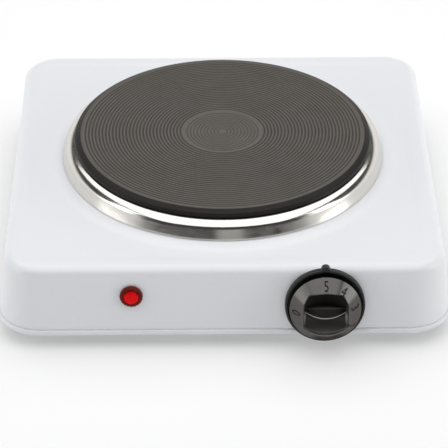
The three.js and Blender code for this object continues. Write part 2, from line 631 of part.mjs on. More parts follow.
function makeMainsBlock() {
  const { x, y, z, sizeX, sizeY, sizeZ, pitch, bore, boreZ } = MAINS_BLOCK;
  const { screw, screwHead, screwDepth, holeDepth } = MAINS_BLOCK;
  const body = block(x - sizeX / 2, y - sizeY / 2, z, x + sizeX / 2, y + sizeY / 2, z + sizeZ);
  const bores = Object.values(POLES).map((pole) => rod(bore, -sizeY / 2 - CUT, sizeY / 2 + CUT, SCREW_SIDES)
    .rotateX(Math.PI / 2).translate(x + pole * pitch, y, boreZ));
  const fixing = rod(screw + GAP, z - CUT, z + holeDepth, SCREW_SIDES).translate(x, y, 0);
  put('mains_terminal_block', cut(body, ...bores, fixing), 'ceramic');
  put('block_screw', baseScrew(screw, screwHead, z + screwDepth), 'zinc').position.set(x, y, 0);
}

function makeEarth() {
  const { x, y, radius, head, tabThickness, tabRadius, tongueHalf, tongue, nut, nutHeight, screwEnd } = EARTH;
  const tabBottom = BASE.bottom + BASE.thickness + GAP;
  const tabTop = tabBottom + tabThickness;
  const eye = tubeRing(tabRadius, radius + GAP, tabBottom, tabTop);
  const strip = block(-tongueHalf, radius + CUT, tabBottom, tongueHalf, tongue, tabTop);
  put('earth_tab', join(eye, strip), 'brass').position.set(x, y, 0);
  const nutBottom = tabTop + GAP;
  put('earth_nut', hexNut(nut, radius + GAP, nutBottom, nutBottom + nutHeight), 'zinc').position.set(x, y, 0);
  put('earth_screw', baseScrew(radius, head, nutBottom + screwEnd), 'zinc').position.set(x, y, 0);
}

function wallPoint(wall, x, y, z) {
  wall.updateWorldMatrix(true, false);
  const point = new THREE.Vector3(x, y, z).applyMatrix4(wall.matrixWorld);
  return [point.x, point.y, point.z];
}

// The internal wires. Each route is a list of points from one terminal to the other.
function makeWiring(control, lamp) {
  const m = MAINS_BLOCK;
  const mid = m.boreZ;
  const nearSide = m.y - m.sizeY / 2 + m.leadIn;
  const poleX = (pole) => m.x + POLES[pole] * m.pitch;
  const pinFoot = DECK_Z + COVER.bottom - GAP - PLATE_BLOCK.sizeZ - PLATE_BLOCK.pinBelow - GAP;
  const pinX = (side) => PLATE_BLOCK.x + side * PLATE_BLOCK.pinOffset;
  const tabEnd = (side) => wallPoint(control, side * TAB.x, TAB.y, TAB.back - 2 * GAP);
  const tabLead = (side) => wallPoint(control, side * TAB.x, TAB.y, TAB.back - 9);
  const f = FUSE;
  const fuseFront = f.y - f.length / 2;
  const fuseBack = f.y + f.length / 2;
  const earthEnd = EARTH.y + EARTH.tongue + GAP;
  const lampBack = LAMP_SOCKET.back - GAP;

  put('live_wire', wire([
    [poleX('live'), nearSide, mid], [poleX('live'), nearSide - 14, mid], [74, 30, 17],
    [82, -20, 17], [80, -60, 20], tabLead(1), tabEnd(1),
  ]), 'brownWire');
  put('fuse_wire', wire([
    tabEnd(-1), tabLead(-1), [44, -72, 26], [f.x, fuseFront - 30, 34],
    [f.x, fuseFront - 12, f.z - 1], [f.x, fuseFront - GAP, f.z],
  ]), 'whiteWire');
  const fuse = rod(f.radius, -f.length / 2, f.length / 2).rotateX(Math.PI / 2).translate(f.x, f.y, f.z);
  put('thermal_fuse', fuse, 'resistance');
  put('plate_wire_live', wire([
    [f.x, fuseBack + GAP, f.z], [f.x, fuseBack + 10, f.z - 1], [30, 34, 30],
    [pinX(1), PLATE_BLOCK.y, pinFoot - 8], [pinX(1), PLATE_BLOCK.y, pinFoot],
  ]), 'whiteWire');
  put('plate_wire_neutral', wire([
    [poleX('plateNeutral'), nearSide, mid], [poleX('plateNeutral'), nearSide - 12, mid], [18, 64, 19],
    [pinX(-1) + 4, 56, 22], [pinX(-1), PLATE_BLOCK.y, pinFoot - 8], [pinX(-1), PLATE_BLOCK.y, pinFoot],
  ]), 'whiteWire');
  put('lamp_wire_neutral', wire([
    [poleX('lampNeutral'), nearSide, mid], [poleX('lampNeutral'), nearSide - 15, mid],
    [34, 40, 16.5], [-20, -10, 15.5], [-50, -70, 17],
    wallPoint(lamp, -1.8, 0, lampBack - 10), wallPoint(lamp, -1.8, 0, lampBack),
  ]), 'blueWire');
  put('lamp_wire_live', wire([
    wallPoint(control, -15.6, TAB.y - 2.4, STAT_BODY.back - GAP),
    wallPoint(control, -16.5, TAB.y - 2.6, STAT_BODY.back - 12), [14, -96, 16], [-24, -98, 16],
    wallPoint(lamp, 1.8, 0, lampBack - 11), wallPoint(lamp, 1.8, 0, lampBack),
  ]), 'brownWire');
  put('earth_wire', wire([
    [poleX('earth'), nearSide, mid], [poleX('earth'), nearSide - 9, mid - 1], [86, 68, 15],
    [EARTH.x, earthEnd + 4.7, 13.9], [EARTH.x, earthEnd, 13.9],
  ]), 'greenWire');
}

// Assembly ------------------------------------------------------------------------------------

const controlWall = wallGroup(KNOB_AT.x, KNOB_AT.below);
const lampWall = wallGroup(LAMP_AT.x, LAMP_AT.below);
const rearWall = wallGroup(GROMMET_AT.x, GROMMET_AT.below, true);

makeHousing([
  ...screwHoles(STAT_SCREW.radius + GAP, -HOUSING.wall - CUT, CUT).map((hole) => placed(controlWall, hole)),
  placed(controlWall, rod(SHAFT.wallHole, -HOUSING.wall - CUT, CUT)),
  placed(lampWall, rod(LENS.hole, -HOUSING.wall - CUT, CUT)),
  placed(rearWall, rod(GROMMET.hole, -HOUSING.wall - CUT, CUT)),
]);
makeBase();
makeFeet();
makePlate();
makeSpillRing();
makeCement();
makeCoils();
makeCover();
makeClamp();
makePlateBlock();
makeBezel(controlWall);
makeKnob(controlWall);
makeShaft(controlWall);
makeBracket(controlWall);
makeThermostatBody(controlWall);
makeTerminals(controlWall);
makeBlade(controlWall);
makeLamp(lampWall);
makeGrommet(rearWall);
makeMainsBlock();
makeEarth();
makeWiring(controlWall, lampWall);

assembly.updateWorldMatrix(true, true);
const size = new THREE.Box3().setFromObject(assembly, true);
assembly.position.set(-(size.min.x + size.max.x) / 2, -(size.min.y + size.max.y) / 2, -size.min.z);

export default assembly;
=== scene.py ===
"""Electric hot plate with one cast-iron plate: the finished look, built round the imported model.

The builders below work in millimetres, each in its piece's own frame, and a place matrix turns them
into metres in the shared frame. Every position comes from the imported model's boxes and joints.
"""

import json
import math

import bmesh
import bpy
import numpy as np
from mathutils import Matrix, Vector


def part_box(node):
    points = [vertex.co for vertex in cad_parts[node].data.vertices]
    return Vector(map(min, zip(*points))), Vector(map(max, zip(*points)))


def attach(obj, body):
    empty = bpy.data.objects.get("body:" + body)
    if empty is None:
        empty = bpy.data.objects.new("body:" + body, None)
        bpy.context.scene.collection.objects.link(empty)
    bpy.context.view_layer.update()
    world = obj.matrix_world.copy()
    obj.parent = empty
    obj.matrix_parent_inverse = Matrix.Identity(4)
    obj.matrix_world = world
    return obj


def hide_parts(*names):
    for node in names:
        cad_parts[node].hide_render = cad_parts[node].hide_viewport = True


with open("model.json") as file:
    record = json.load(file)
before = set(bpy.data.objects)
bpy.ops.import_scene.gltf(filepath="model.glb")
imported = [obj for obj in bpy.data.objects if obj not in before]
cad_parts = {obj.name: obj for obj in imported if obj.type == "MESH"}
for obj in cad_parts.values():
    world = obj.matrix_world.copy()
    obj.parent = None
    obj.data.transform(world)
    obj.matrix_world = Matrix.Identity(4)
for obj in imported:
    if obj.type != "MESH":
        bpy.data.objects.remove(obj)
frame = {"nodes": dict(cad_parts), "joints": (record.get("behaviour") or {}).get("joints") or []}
NODES = frame["nodes"]
JOINTS = {joint["name"]: joint for joint in frame["joints"]}
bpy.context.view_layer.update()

MM = 0.001
GAP = 0.3
TURN = 2 * math.pi
SHARP_DEG = 38.0
LATHE_AROUND = 96
MERGE_M = 1e-7
WELD_M = 1e-6
CORNERS = ("front_left", "front_right", "back_left", "back_right")

# Housing, in mm
WALL = 1.0
CORNER = 21.0
FILLET = 6.0
HEIGHT = 43.0
LIP_TOP = 40.0
LIP_REACH = 1.09
HOLE = 82.0
BORDER = (9.0, 15.0)
RECESS = 0.45
SEAT = (105.0, 112.0)
SIDE_STEPS = 40
CORNER_STEPS = 18
DECK_STEPS = 64
UNDER_DECK_STEPS = 32
SHAFT_HOLE_R = 4.0
LAMP_HOLE_R = 5.6
INLET_HOLE_R = 7.0
HOLE_CUT = (-4, 3)

# Hot plate, in mm
PLATE_R = 92.5
PLATE_TOP = 15.5
PLATE_FLAT = 88.8
PLATE_AROUND = 224
RIM_TOP = 13.9
RIM_BOTTOM = 11.2
NECK_R = 89.4
RECESS_RS = (22.0, 85.6)
RECESS_TOP = 9.0
UNDERSIDE = 2.0
DISC = (24.1, 25.3)
DISC_DROP = 0.55
DISC_GROOVES = (2.1, 23.3)
DISC_GROOVE_DEPTH = 0.28
GROOVES = (25.32, 86.8)
GROOVE_PITCH = 2.12
GROOVE_DEPTH = 0.45
GROOVE_STEPS = 6

# Spill ring, in mm
CREST_R = 91.9
RING_WALL_R = 90.1
FLANGE = (84.2, 0.9)
RING_THICK = 0.8
RING_AROUND = 256
SKIRT_SLOPE = 3.0
SKIRT_BLEND = 0.35

# Knob, in mm
KNOB_R = 21.0
KNOB_EDGE = 7.6
KNOB_BACK = 7.4
KNOB_FACE_R = 14.2
KNOB_FRONT = 14.94
KNOB_FALL = (KNOB_FRONT - KNOB_EDGE) / (KNOB_R - KNOB_FACE_R)
KNOB_AROUND = 360
KNOB_STEP = 0.2
POCKET_HALF = 13.0
POCKET_END = 13.9
POCKET_BOW = 0.018
POCKET_FLOOR = 8.8
POCKET_LIP = 1.4
SHOULDER_OUT = 16.6
SHOULDER_LEAN = 0.55
SHOULDER_SPREAD = 1.14
BAR_FRONT = 13.4
BAR_HALF = 3.8
BAR_TIP = 1.2
BAR_DROP = 5.0
BAR_EDGE = 0.35
DIGITS = [("5", 0), ("4", 37), ("3", 79), ("2", 120), ("1", 160), ("0", 270)]
DIGIT_HEIGHT = 6.8
DIGIT_WIDTH = 0.66
DIGIT_R = 17.3
DIGIT_LIFT = 0.06
DIGIT_THICK = 0.12

# Bezel, in mm: below LIP_BEHIND the housing's lip stands out behind it, so its back and its floor
# are raised to the two heights of LIP_CLEAR
BEZEL_BORE = 4.6
BEZEL_OUTER = 23.5
BEZEL_INNER = 21.9
BEZEL_TOP = 4.4
BEZEL_FLOOR = 1.5
BEZEL_AROUND = 360
POINTER_DEG = 6.2
POINTER_REACH = 2.5
POINTER_RISE = 0.5
LIP_BEHIND = -16.9
LIP_CLEAR = (1.75, 2.4)

# Lamp lens, in mm
LENS_R = 4.4
LENS_BARREL_R = 5.2
LENS_FLANGE_R = 6.75
LENS_FRONT = 3.4
LENS_DOME = 1.1
LENS_BACK = -9.0
LENS_AROUND = 120
FLUTES = 20
FLUTE_DEPTH = 0.02

# Inlet, feet and base plate, in mm
GROMMET_FLANGE_R = 9.0
SLOT_PITCH = 10.0
SLOT_R = 1.8
SLOT_HALF = 17.0
FOOT_BORE_R = 2.5
EARTH_BORE_R = 2.2
BLOCK_BORE_R = 1.9
SHEET_BEVEL = 0.12

# Softened edges of the carried-over CAD pieces, in mm and degrees
NODE_BEVEL = 0.12
NODE_SHARP_DEG = 40


# Places -----------------------------------------------------------------------------------------

def centre_of(node):
    low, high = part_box(node)
    return (low + high) / 2


def wall_matrix(origin, outward):
    """Local +Z points out of the wall, +X along it and +Y up it."""
    across = Vector((0, 0, 1)).cross(outward).normalized()
    up = outward.cross(across)
    matrix = Matrix((across, up, outward)).transposed().to_4x4()
    matrix.translation = origin
    return matrix


HOUSING_LOW, HOUSING_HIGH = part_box("housing")
HOUSING_MID = (HOUSING_LOW + HOUSING_HIGH) / 2
DECK_Z = HOUSING_HIGH.z
PLATE_MID = centre_of("hot_plate")
KNOB_POINT = Vector(JOINTS["knob_turn"]["pos_m"])
FRONT_OUT = Vector(JOINTS["knob_turn"]["axis"]).normalized()
REAR_OUT = Vector((0, -FRONT_OUT.y, FRONT_OUT.z))
SLOPE = math.asin(FRONT_OUT.z)


def front_y(z):
    return KNOB_POINT.y + (z - KNOB_POINT.z) * math.tan(SLOPE)


def wall_point(node, flange, rear=False):
    """Where the axis of a flanged round piece meets the wall's outer face."""
    low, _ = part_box(node)
    z = low.z + (flange * math.cos(SLOPE) - GAP * math.sin(SLOPE)) * MM
    y = 2 * HOUSING_MID.y - front_y(z) if rear else front_y(z)
    return Vector((centre_of(node).x, y, z))


HALF_Y = (HOUSING_MID.y - front_y(DECK_Z)) / MM
HOUSING_SPAN = HOUSING_HIGH - HOUSING_LOW
HALF_X = HALF_Y + (HOUSING_SPAN.x - HOUSING_SPAN.y) / 2 / MM
DECK = Matrix.Translation((HOUSING_MID.x, HOUSING_MID.y, DECK_Z))
HOB = Matrix.Translation((PLATE_MID.x, PLATE_MID.y, DECK_Z))
CONTROL = wall_matrix(KNOB_POINT, FRONT_OUT)
LAMP = wall_matrix(wall_point("indicator_lens", LENS_FLANGE_R), FRONT_OUT)
INLET = wall_matrix(wall_point("cord_grommet", GROMMET_FLANGE_R, rear=True), REAR_OUT)


# Meshes -----------------------------------------------------------------------------------------

def smoothstep(low, high, value):
    t = np.clip((np.asarray(value, float) - low) / (high - low), 0, 1)
    return t * t * (3 - 2 * t)


def blend_max(a, b, width):
    """The larger of two fields, with the crease between them rounded over width."""
    share = np.clip(0.5 + (a - b) / (2 * width), 0, 1)
    return b + (a - b) * share + width * share * (1 - share)


def finished(mesh, name):
    """Cleans a mesh, shades it smooth with its hard edges kept, and puts it in the scene."""
    edit = bmesh.new()
    edit.from_mesh(mesh)
    bmesh.ops.remove_doubles(edit, verts=edit.verts, dist=MERGE_M)
    bmesh.ops.recalc_face_normals(edit, faces=edit.faces)
    edit.to_mesh(mesh)
    edit.free()
    mesh.shade_smooth()
    mesh.set_sharp_from_angle(angle=math.radians(SHARP_DEG))
    piece = bpy.data.objects.new(name, mesh)
    bpy.context.scene.collection.objects.link(piece)
    return piece


def grid(name, rows, place, loop=True):
    """A skin over rows of points that run round the piece. loop joins the last row to the first."""
    rows = np.asarray(rows, float)
    count, around = rows.shape[:2]
    matrix = np.array(place)
    points = rows.reshape(-1, 3) * MM @ matrix[:3, :3].T + matrix[:3, 3]
    i = np.arange(count if loop else count - 1)[:, None]
    j = np.arange(around)[None, :]
    up, along = (i + 1) % count, (j + 1) % around
    corners = [i * around + j, i * around + along, up * around + along, up * around + j]
    faces = np.stack(corners, -1)
    mesh = bpy.data.meshes.new(name)
    mesh.from_pydata(points.tolist(), [], faces.reshape(-1, 4).tolist())
    mesh.validate()
    return finished(mesh, name)


def rounded(points, steps=4):
    """A closed outline whose (a, b, radius) corners are rounded by their radius."""
    flat = [np.array(point[:2], float) for point in points]
    out = []
    for i, (*_, radius) in enumerate(points):
        here, before, after = flat[i], flat[i - 1], flat[(i + 1) % len(flat)]
        if radius == 0:
            out.append(here)
            continue
        back, ahead = np.linalg.norm(before - here), np.linalg.norm(after - here)
        reach = min(radius, back * 0.48, ahead * 0.48)
        start = here + (before - here) / back * reach
        end = here + (after - here) / ahead * reach
        for t in np.linspace(0, 1, steps + 1):
            out.append((1 - t) ** 2 * start + 2 * t * (1 - t) * here + t * t * end)
    return np.array(out)


def circle_rows(profile, around):
    """The points of an (r, z) outline turned about Z."""
    angle = np.arange(around) / around * TURN
    radius, height = np.asarray(profile, float).T
    x = radius[:, None] * np.cos(angle)
    y = radius[:, None] * np.sin(angle)
    z = np.repeat(height[:, None], around, axis=1)
    return np.stack([x, y, z], -1)


def lathe(name, outline, place):
    return grid(name, circle_rows(rounded(outline), LATHE_AROUND), place)


def rod(name, radius, low, high, place, around=64):
    profile = [(0, low), (radius, low), (radius, high), (0, high)]
    return grid(name, circle_rows(profile, around), place, loop=False)


def carve(piece, cutters):
    """Takes the cutters away from a piece, for good."""
    for cutter in cutters:
        step = piece.modifiers.new("cut", "BOOLEAN")
        step.operation = "DIFFERENCE"
        step.object = cutter
        step.solver = "EXACT"
    bpy.context.view_layer.update()
    graph = bpy.context.evaluated_depsgraph_get()
    mesh = bpy.data.meshes.new_from_object(piece.evaluated_get(graph))
    name = piece.name
    for extra in [piece, *cutters]:
        bpy.data.objects.remove(extra)
    mesh.name = name
    return finished(mesh, name)


# Housing ----------------------------------------------------------------------------------------

def rounded_rectangle(half_x, half_y, corner, straight, arc):
    """Points round a rounded rectangle, anticlockwise, and the outward direction at each."""
    points, outward = [], []
    quarter = math.pi / 2
    centres = [(1, 1), (-1, 1), (-1, -1), (1, -1)]
    for k, (sx, sy) in enumerate(centres):
        mid = np.array([sx * (half_x - corner), sy * (half_y - corner)])
        for t in np.linspace(0, 1, arc + 1):
            angle = (k + t) * quarter
            direction = np.array([math.cos(angle), math.sin(angle)])
            points.append(mid + corner * direction)
            outward.append(direction)
        nx, ny = centres[(k + 1) % 4]
        last = points[-1]
        facing = outward[-1]
        goal = np.array([nx * (half_x - corner), ny * (half_y - corner)]) + corner * facing
        for t in np.linspace(0, 1, straight + 1)[1:-1]:
            points.append(last + (goal - last) * t)
            outward.append(facing)
    return np.array(points), np.array(outward)


def wall_offset(z):
    return -z * math.tan(SLOPE)


def fillet_rows(radius, steps):
    centre = FILLET * math.tan(SLOPE) - FILLET / math.cos(SLOPE)
    angles = np.linspace(SLOPE, math.pi / 2, steps + 1)
    return [(centre + radius * math.cos(a), -FILLET + radius * math.sin(a)) for a in angles]


def deck_relief(x, y):
    """Height of the pressed deck above its flat: a shallow centre panel and a raised round seat."""
    qx = np.abs(x) - (HALF_X - CORNER)
    qy = np.abs(y) - (HALF_Y - CORNER)
    outside = np.hypot(np.maximum(qx, 0), np.maximum(qy, 0))
    inset = CORNER - outside - np.minimum(np.maximum(qx, qy), 0)
    seat_y = y - (PLATE_MID.y - HOUSING_MID.y) / MM
    seat = 1 - smoothstep(*SEAT, np.hypot(x, seat_y))
    return -RECESS * smoothstep(*BORDER, inset) * (1 - seat)


def housing_rows():
    """Rings of points up the outside, across the deck to its hole, and back under the deck."""
    points, outward = rounded_rectangle(HALF_X, HALF_Y, CORNER, SIDE_STEPS, CORNER_STEPS)
    lip = wall_offset(-LIP_TOP) + LIP_REACH
    skirt = rounded([
        (wall_offset(-HEIGHT) - WALL, -HEIGHT, 0.2), (lip, -HEIGHT, 1.1),
        (lip, -LIP_TOP - 0.2, 0.7), (wall_offset(-LIP_TOP) - 0.35, -LIP_TOP - 0.1, 0.1),
        (wall_offset(-LIP_TOP), 0.9 - LIP_TOP, 0.4), (wall_offset(-LIP_TOP / 2), -LIP_TOP / 2, 0),
        (wall_offset(-FILLET) - WALL - 1, -FILLET, 0),
    ], steps=5)[:-2]
    wall = [(wall_offset(-z), -z) for z in (30, 20, 12)]
    outer = [*skirt, *wall, *fillet_rows(FILLET, 10)]

    def ring_at(offset, z):
        at = points + outward * offset
        return np.column_stack([at, np.full(len(at), z)])

    rows = [ring_at(offset, z) for offset, z in outer]
    hole_mid = np.array([0, (PLATE_MID.y - HOUSING_MID.y) / MM])
    direction = points - hole_mid
    direction /= np.linalg.norm(direction, axis=1)[:, None]

    def across_deck(edge, inwards, drop, order):
        rim = points + outward * edge
        mouth = hole_mid + direction * HOLE
        for t in np.linspace(0, 1, inwards + 1)[order]:
            at = rim + (mouth - rim) * t
            height = deck_relief(at[:, 0], at[:, 1]) - drop
            rows.append(np.column_stack([at, height]))

    across_deck(outer[-1][0], DECK_STEPS, 0, slice(1, None))
    inner = fillet_rows(FILLET - WALL, 4)
    across_deck(inner[-1][0], UNDER_DECK_STEPS, WALL, slice(None, 0, -1))
    rows.extend(ring_at(offset, z) for offset, z in reversed(inner))
    return rows


def make_housing():
    shell = grid("housing_shell", housing_rows(), DECK)
    holes = [
        rod("cut_shaft", SHAFT_HOLE_R, *HOLE_CUT, CONTROL),
        rod("cut_lamp", LAMP_HOLE_R, *HOLE_CUT, LAMP),
        rod("cut_inlet", INLET_HOLE_R, *HOLE_CUT, INLET),
    ]
    return carve(shell, holes)


# Plate and ring ---------------------------------------------------------------------------------

def grooves(start, end, level, depth):
    """Ridges and valleys on a level face, from the outer radius inwards."""
    count = round((end - start) / GROOVE_PITCH)
    step = np.arange(count * GROOVE_STEPS) / GROOVE_STEPS
    radius = end - step * (end - start) / count
    return list(zip(radius, level - depth * (0.5 - 0.5 * np.cos(step * TURN))))


def plate_profile():
    """Outline of the plate's right half in (r, z), from its boss round to the middle."""
    inner, outer = RECESS_RS
    under = [(0, 12), (4.3, 12), (4.3, UNDERSIDE), (inner, UNDERSIDE), (inner, RECESS_TOP),
             (outer, RECESS_TOP), (outer, UNDERSIDE)]
    edge = rounded([
        (NECK_R, UNDERSIDE, 0.3), (NECK_R, RIM_BOTTOM, 0.3), (PLATE_R, RIM_BOTTOM, 0.5),
        (PLATE_R, RIM_TOP, 0.9), (PLATE_FLAT, PLATE_TOP, 0.5), (80.0, PLATE_TOP, 0), (80.0, 0, 0),
    ])[:-2]
    low = PLATE_TOP - DISC_DROP
    field = grooves(*GROOVES, PLATE_TOP, GROOVE_DEPTH)
    step = rounded([
        (GROOVES[0], PLATE_TOP, 0), (DISC[1], PLATE_TOP, 0.3), (DISC[0], low, 0.4), (20, low, 0),
        (20, 0, 0),
    ])[1:-2]
    disc = grooves(*DISC_GROOVES, low, DISC_GROOVE_DEPTH)
    return np.array([*under, *edge, *field, *step, *disc, (1.5, low), (0, low)])


def make_plate():
    piece = grid("hob_plate", circle_rows(plate_profile(), PLATE_AROUND), HOB, loop=False)
    points = np.zeros(len(piece.data.vertices) * 3)
    piece.data.vertices.foreach_get("co", points)
    x, y, z = points.reshape(-1, 3).T / MM
    radius = np.hypot(x - PLATE_MID.x / MM, y - PLATE_MID.y / MM)
    level = np.where(radius < DISC[0], PLATE_TOP - DISC_DROP, PLATE_TOP)
    # Painted shade for the grooves: the deeper a point lies below the face, the darker the cast
    # iron's colour is made there
    below = np.clip((DECK_Z / MM + level - z) / GROOVE_DEPTH, 0, 1)
    plain_face = (radius > GROOVES[1]) | ((radius > DISC[0]) & (radius < DISC[1]))
    depth = piece.data.attributes.new("groove_shade", "FLOAT", "POINT")
    depth.data.foreach_set("value", np.where(plain_face, 0, below).astype(np.float32))
    return piece


def make_ring():
    low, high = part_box("spill_ring")
    foot_r, foot_z = (high.x - low.x) / 2 / MM, GAP
    crest_z = (high.z - DECK_Z) / MM
    flange_r, flange_z = FLANGE
    outer_r = RING_WALL_R + RING_THICK

    def arc(inset, steps):
        """A straight skirt that leans in at SKIRT_SLOPE, rounded over to the crest."""
        angle = np.linspace(0, math.pi / 2, steps + 1)
        width = foot_r - inset - CREST_R
        rise = crest_z - foot_z - inset
        oval = [(CREST_R + width * math.cos(a), foot_z + rise * math.sin(a)) for a in angle]
        skirt = [foot_r - inset - (z - foot_z) / SKIRT_SLOPE for _, z in oval]
        return [(-float(blend_max(-r, -side, SKIRT_BLEND)), z) for (r, z), side in zip(oval, skirt)]

    collar = rounded([
        (0, 0, 0), (CREST_R, crest_z, 0), (RING_WALL_R, crest_z, 1.3),
        (RING_WALL_R, flange_z + RING_THICK, 0.6), (flange_r, flange_z + RING_THICK, 0.2),
        (flange_r, flange_z, 0.2), (outer_r, flange_z, 0.8), (outer_r, crest_z - RING_THICK, 0.6),
        (CREST_R, crest_z - RING_THICK, 0),
    ])[2:-1]
    inside = list(reversed(arc(RING_THICK, 20)))
    return grid("ring_shell", circle_rows([*arc(0, 36), *collar, *inside], RING_AROUND), HOB)


# Knob, bezel, lamp ------------------------------------------------------------------------------

def bar_half(x):
    """Half the width of the grip bar's face, which is shaped like a lens."""
    along = np.clip(np.abs(x) / POCKET_HALF, 0, 1)
    return BAR_TIP + (BAR_HALF - BAR_TIP) * (1 - along ** 2)


def pocket_wall(x, y):
    """Below 0 inside the pocket in the knob's face: straight sides and sloping shoulders."""
    end = np.abs(y) - POCKET_END + POCKET_BOW * x ** 2
    shoulder = (np.abs(x) + SHOULDER_LEAN * y - SHOULDER_OUT) / SHOULDER_SPREAD
    wall = blend_max(np.abs(x) - POCKET_HALF, end, 0.5)
    return blend_max(wall, shoulder, 0.4)


def knob_height(x, y):
    """Front surface of the knob: a cone, a pocket through its face and a bar across the pocket."""
    radius = np.hypot(x, y)
    cone = KNOB_FRONT - (radius - KNOB_FACE_R) * KNOB_FALL
    skin = -blend_max(-cone, np.full_like(cone, -KNOB_FRONT), 0.3)
    along = np.clip(np.abs(x) / POCKET_HALF, 0, 1)
    half = bar_half(x)
    rise = np.clip((np.abs(y) - half) / (POCKET_END - half), 0, 1)
    floor = POCKET_FLOOR + (KNOB_FRONT - POCKET_LIP - POCKET_FLOOR) * rise ** 2
    bar = BAR_FRONT - BAR_DROP * along ** 2
    inner = floor + (bar - floor) * smoothstep(BAR_EDGE, -BAR_EDGE, np.abs(y) - half)
    inner = np.minimum(inner, skin - 0.5)
    return inner + (skin - inner) * smoothstep(-1.1, 0.25, pocket_wall(x, y))


def make_knob():
    back = rounded([
        (0, 10.9, 0), (3.2, 10.9, 0), (3.2, 2.2, 0.3), (6, 2.2, 0.4), (6, 6.4, 0.5),
        (13.8, 6.4, 0.5), (14.6, 7.0, 0.3), (KNOB_R - 1.8, KNOB_BACK, 0.2),
        (KNOB_R, KNOB_BACK, 0.15), (KNOB_R, KNOB_EDGE, 0), (0, 30, 0),
    ])[:-2]
    rows = list(circle_rows(back, KNOB_AROUND))
    angle = np.arange(KNOB_AROUND) / KNOB_AROUND * TURN
    for radius in [*np.arange(KNOB_R, 0, -KNOB_STEP), 0]:
        x, y = radius * np.cos(angle), radius * np.sin(angle)
        rows.append(np.column_stack([x, y, knob_height(x, y)]))
    piece = grid("knob_body", rows, CONTROL, loop=False)
    paint_knob(piece)
    return piece


def paint_knob(piece):
    """Rough faces with painted shade in the pocket, painted highlights on the bar's edges and
    flanks.
    """
    points = np.array([CONTROL.inverted() @ vertex.co for vertex in piece.data.vertices]) / MM
    x, y, z = points.T
    half = bar_half(x)
    wall = pocket_wall(x, y)
    front = z > KNOB_EDGE
    inside = (wall < -1.0) & front
    # Painted shade over the pocket, weaker in its lower part below the bar
    depth = smoothstep(half + 0.5, half + 4, -y)
    # Painted highlights along the bar's lower and upper edges and on the pocket's lower flanks
    lower = smoothstep(0.6, 0.3, np.abs(-y - half + 0.45))
    upper = smoothstep(0.3, 0.1, np.abs(y - half + 0.3)) * 0.12
    edge = np.maximum(lower, upper) * inside
    flank = smoothstep(-1.7, -1.1, wall) * smoothstep(-0.1, -0.5, wall) * front
    flank *= smoothstep(-10, -3, y) * smoothstep(-1, -2, y)
    matte, painted_highlight = inside * (1 - 0.45 * depth), np.maximum(edge, flank * 0.6)
    for name, values in (("matte", matte), ("painted_highlight", painted_highlight)):
        layer = piece.data.attributes.new(name, "FLOAT", "POINT")
        layer.data.foreach_set("value", values.astype(np.float32))


def digit_points(letter, clockwise_deg):
    """The solid of one numeral, bent onto the knob's cone. Returns its points and faces."""
    text = bpy.data.curves.new("digit", "FONT")
    text.body = letter
    text.align_x = "CENTER"
    text.align_y = "CENTER"
    text.size = 1.0
    text.resolution_u = 6
    text.extrude = 0.5
    holder = bpy.data.objects.new("digit", text)
    bpy.context.scene.collection.objects.link(holder)
    bpy.context.view_layer.update()
    graph = bpy.context.evaluated_depsgraph_get()
    mesh = bpy.data.meshes.new_from_object(holder.evaluated_get(graph))
    points = np.array([v.co for v in mesh.vertices])
    faces = [list(p.vertices) for p in mesh.polygons]
    bpy.data.objects.remove(holder)
    points[:, :2] -= (points[:, :2].min(0) + points[:, :2].max(0)) / 2
    scale = DIGIT_HEIGHT / np.ptp(points[:, 1])
    slant = math.hypot(1, KNOB_FALL)
    across = points[:, 0] * scale * DIGIT_WIDTH
    out = DIGIT_R + points[:, 1] * scale / slant
    lift = DIGIT_LIFT + DIGIT_THICK * points[:, 2]
    angle = math.pi / 2 - math.radians(clockwise_deg) - across / DIGIT_R
    height = KNOB_FRONT - (out - KNOB_FACE_R) * KNOB_FALL + lift / slant
    out = out + lift * KNOB_FALL / slant
    return np.column_stack([out * np.cos(angle), out * np.sin(angle), height]), faces


def make_digits():
    all_points, all_faces = [], []
    for letter, clockwise in DIGITS:
        points, faces = digit_points(letter, clockwise)
        start = sum(len(p) for p in all_points)
        all_points.append(points)
        all_faces.extend([[start + v for v in face] for face in faces])
    matrix = np.array(CONTROL)
    points = np.vstack(all_points) * MM @ matrix[:3, :3].T + matrix[:3, 3]
    mesh = bpy.data.meshes.new("knob_numerals")
    mesh.from_pydata(points.tolist(), [], all_faces)
    return finished(mesh, "knob_numerals")


def make_bezel():
    profile = rounded([
        (BEZEL_BORE, GAP, 0.2), (BEZEL_OUTER, GAP, 0.2), (BEZEL_OUTER, BEZEL_TOP, 1.0),
        (BEZEL_INNER, BEZEL_TOP, 0.5), (BEZEL_INNER, BEZEL_FLOOR, 0.4),
        (BEZEL_BORE, BEZEL_FLOOR, 0.2),
    ])
    rows = circle_rows(profile, BEZEL_AROUND)
    angle = np.arange(BEZEL_AROUND) / BEZEL_AROUND * TURN
    away = np.abs(angle - math.pi / 2) / math.radians(POINTER_DEG)
    pointer = np.sqrt(np.clip(1 - away ** 2, 0, 1))
    radius = np.hypot(rows[..., 0], rows[..., 1])
    share = smoothstep(BEZEL_INNER - 0.1, BEZEL_OUTER, radius)
    grown = radius + POINTER_REACH * pointer * share
    rows[..., 0] *= grown / radius
    rows[..., 1] *= grown / radius
    ridge = np.clip(1 - away * 1.3, 0, 1) * (rows[..., 2] > 3)
    ridge *= smoothstep(BEZEL_INNER, BEZEL_OUTER, radius)
    rows[..., 2] += POINTER_RISE * ridge * (1 - share * 0.6)
    behind = rows[..., 1] < LIP_BEHIND
    under = profile[:, 1][:, None] < 1.0
    for part, level in zip((under, ~under), LIP_CLEAR):
        rows[..., 2] = np.where(behind & part, np.maximum(rows[..., 2], level), rows[..., 2])
    return grid("bezel_ring", rows, CONTROL)


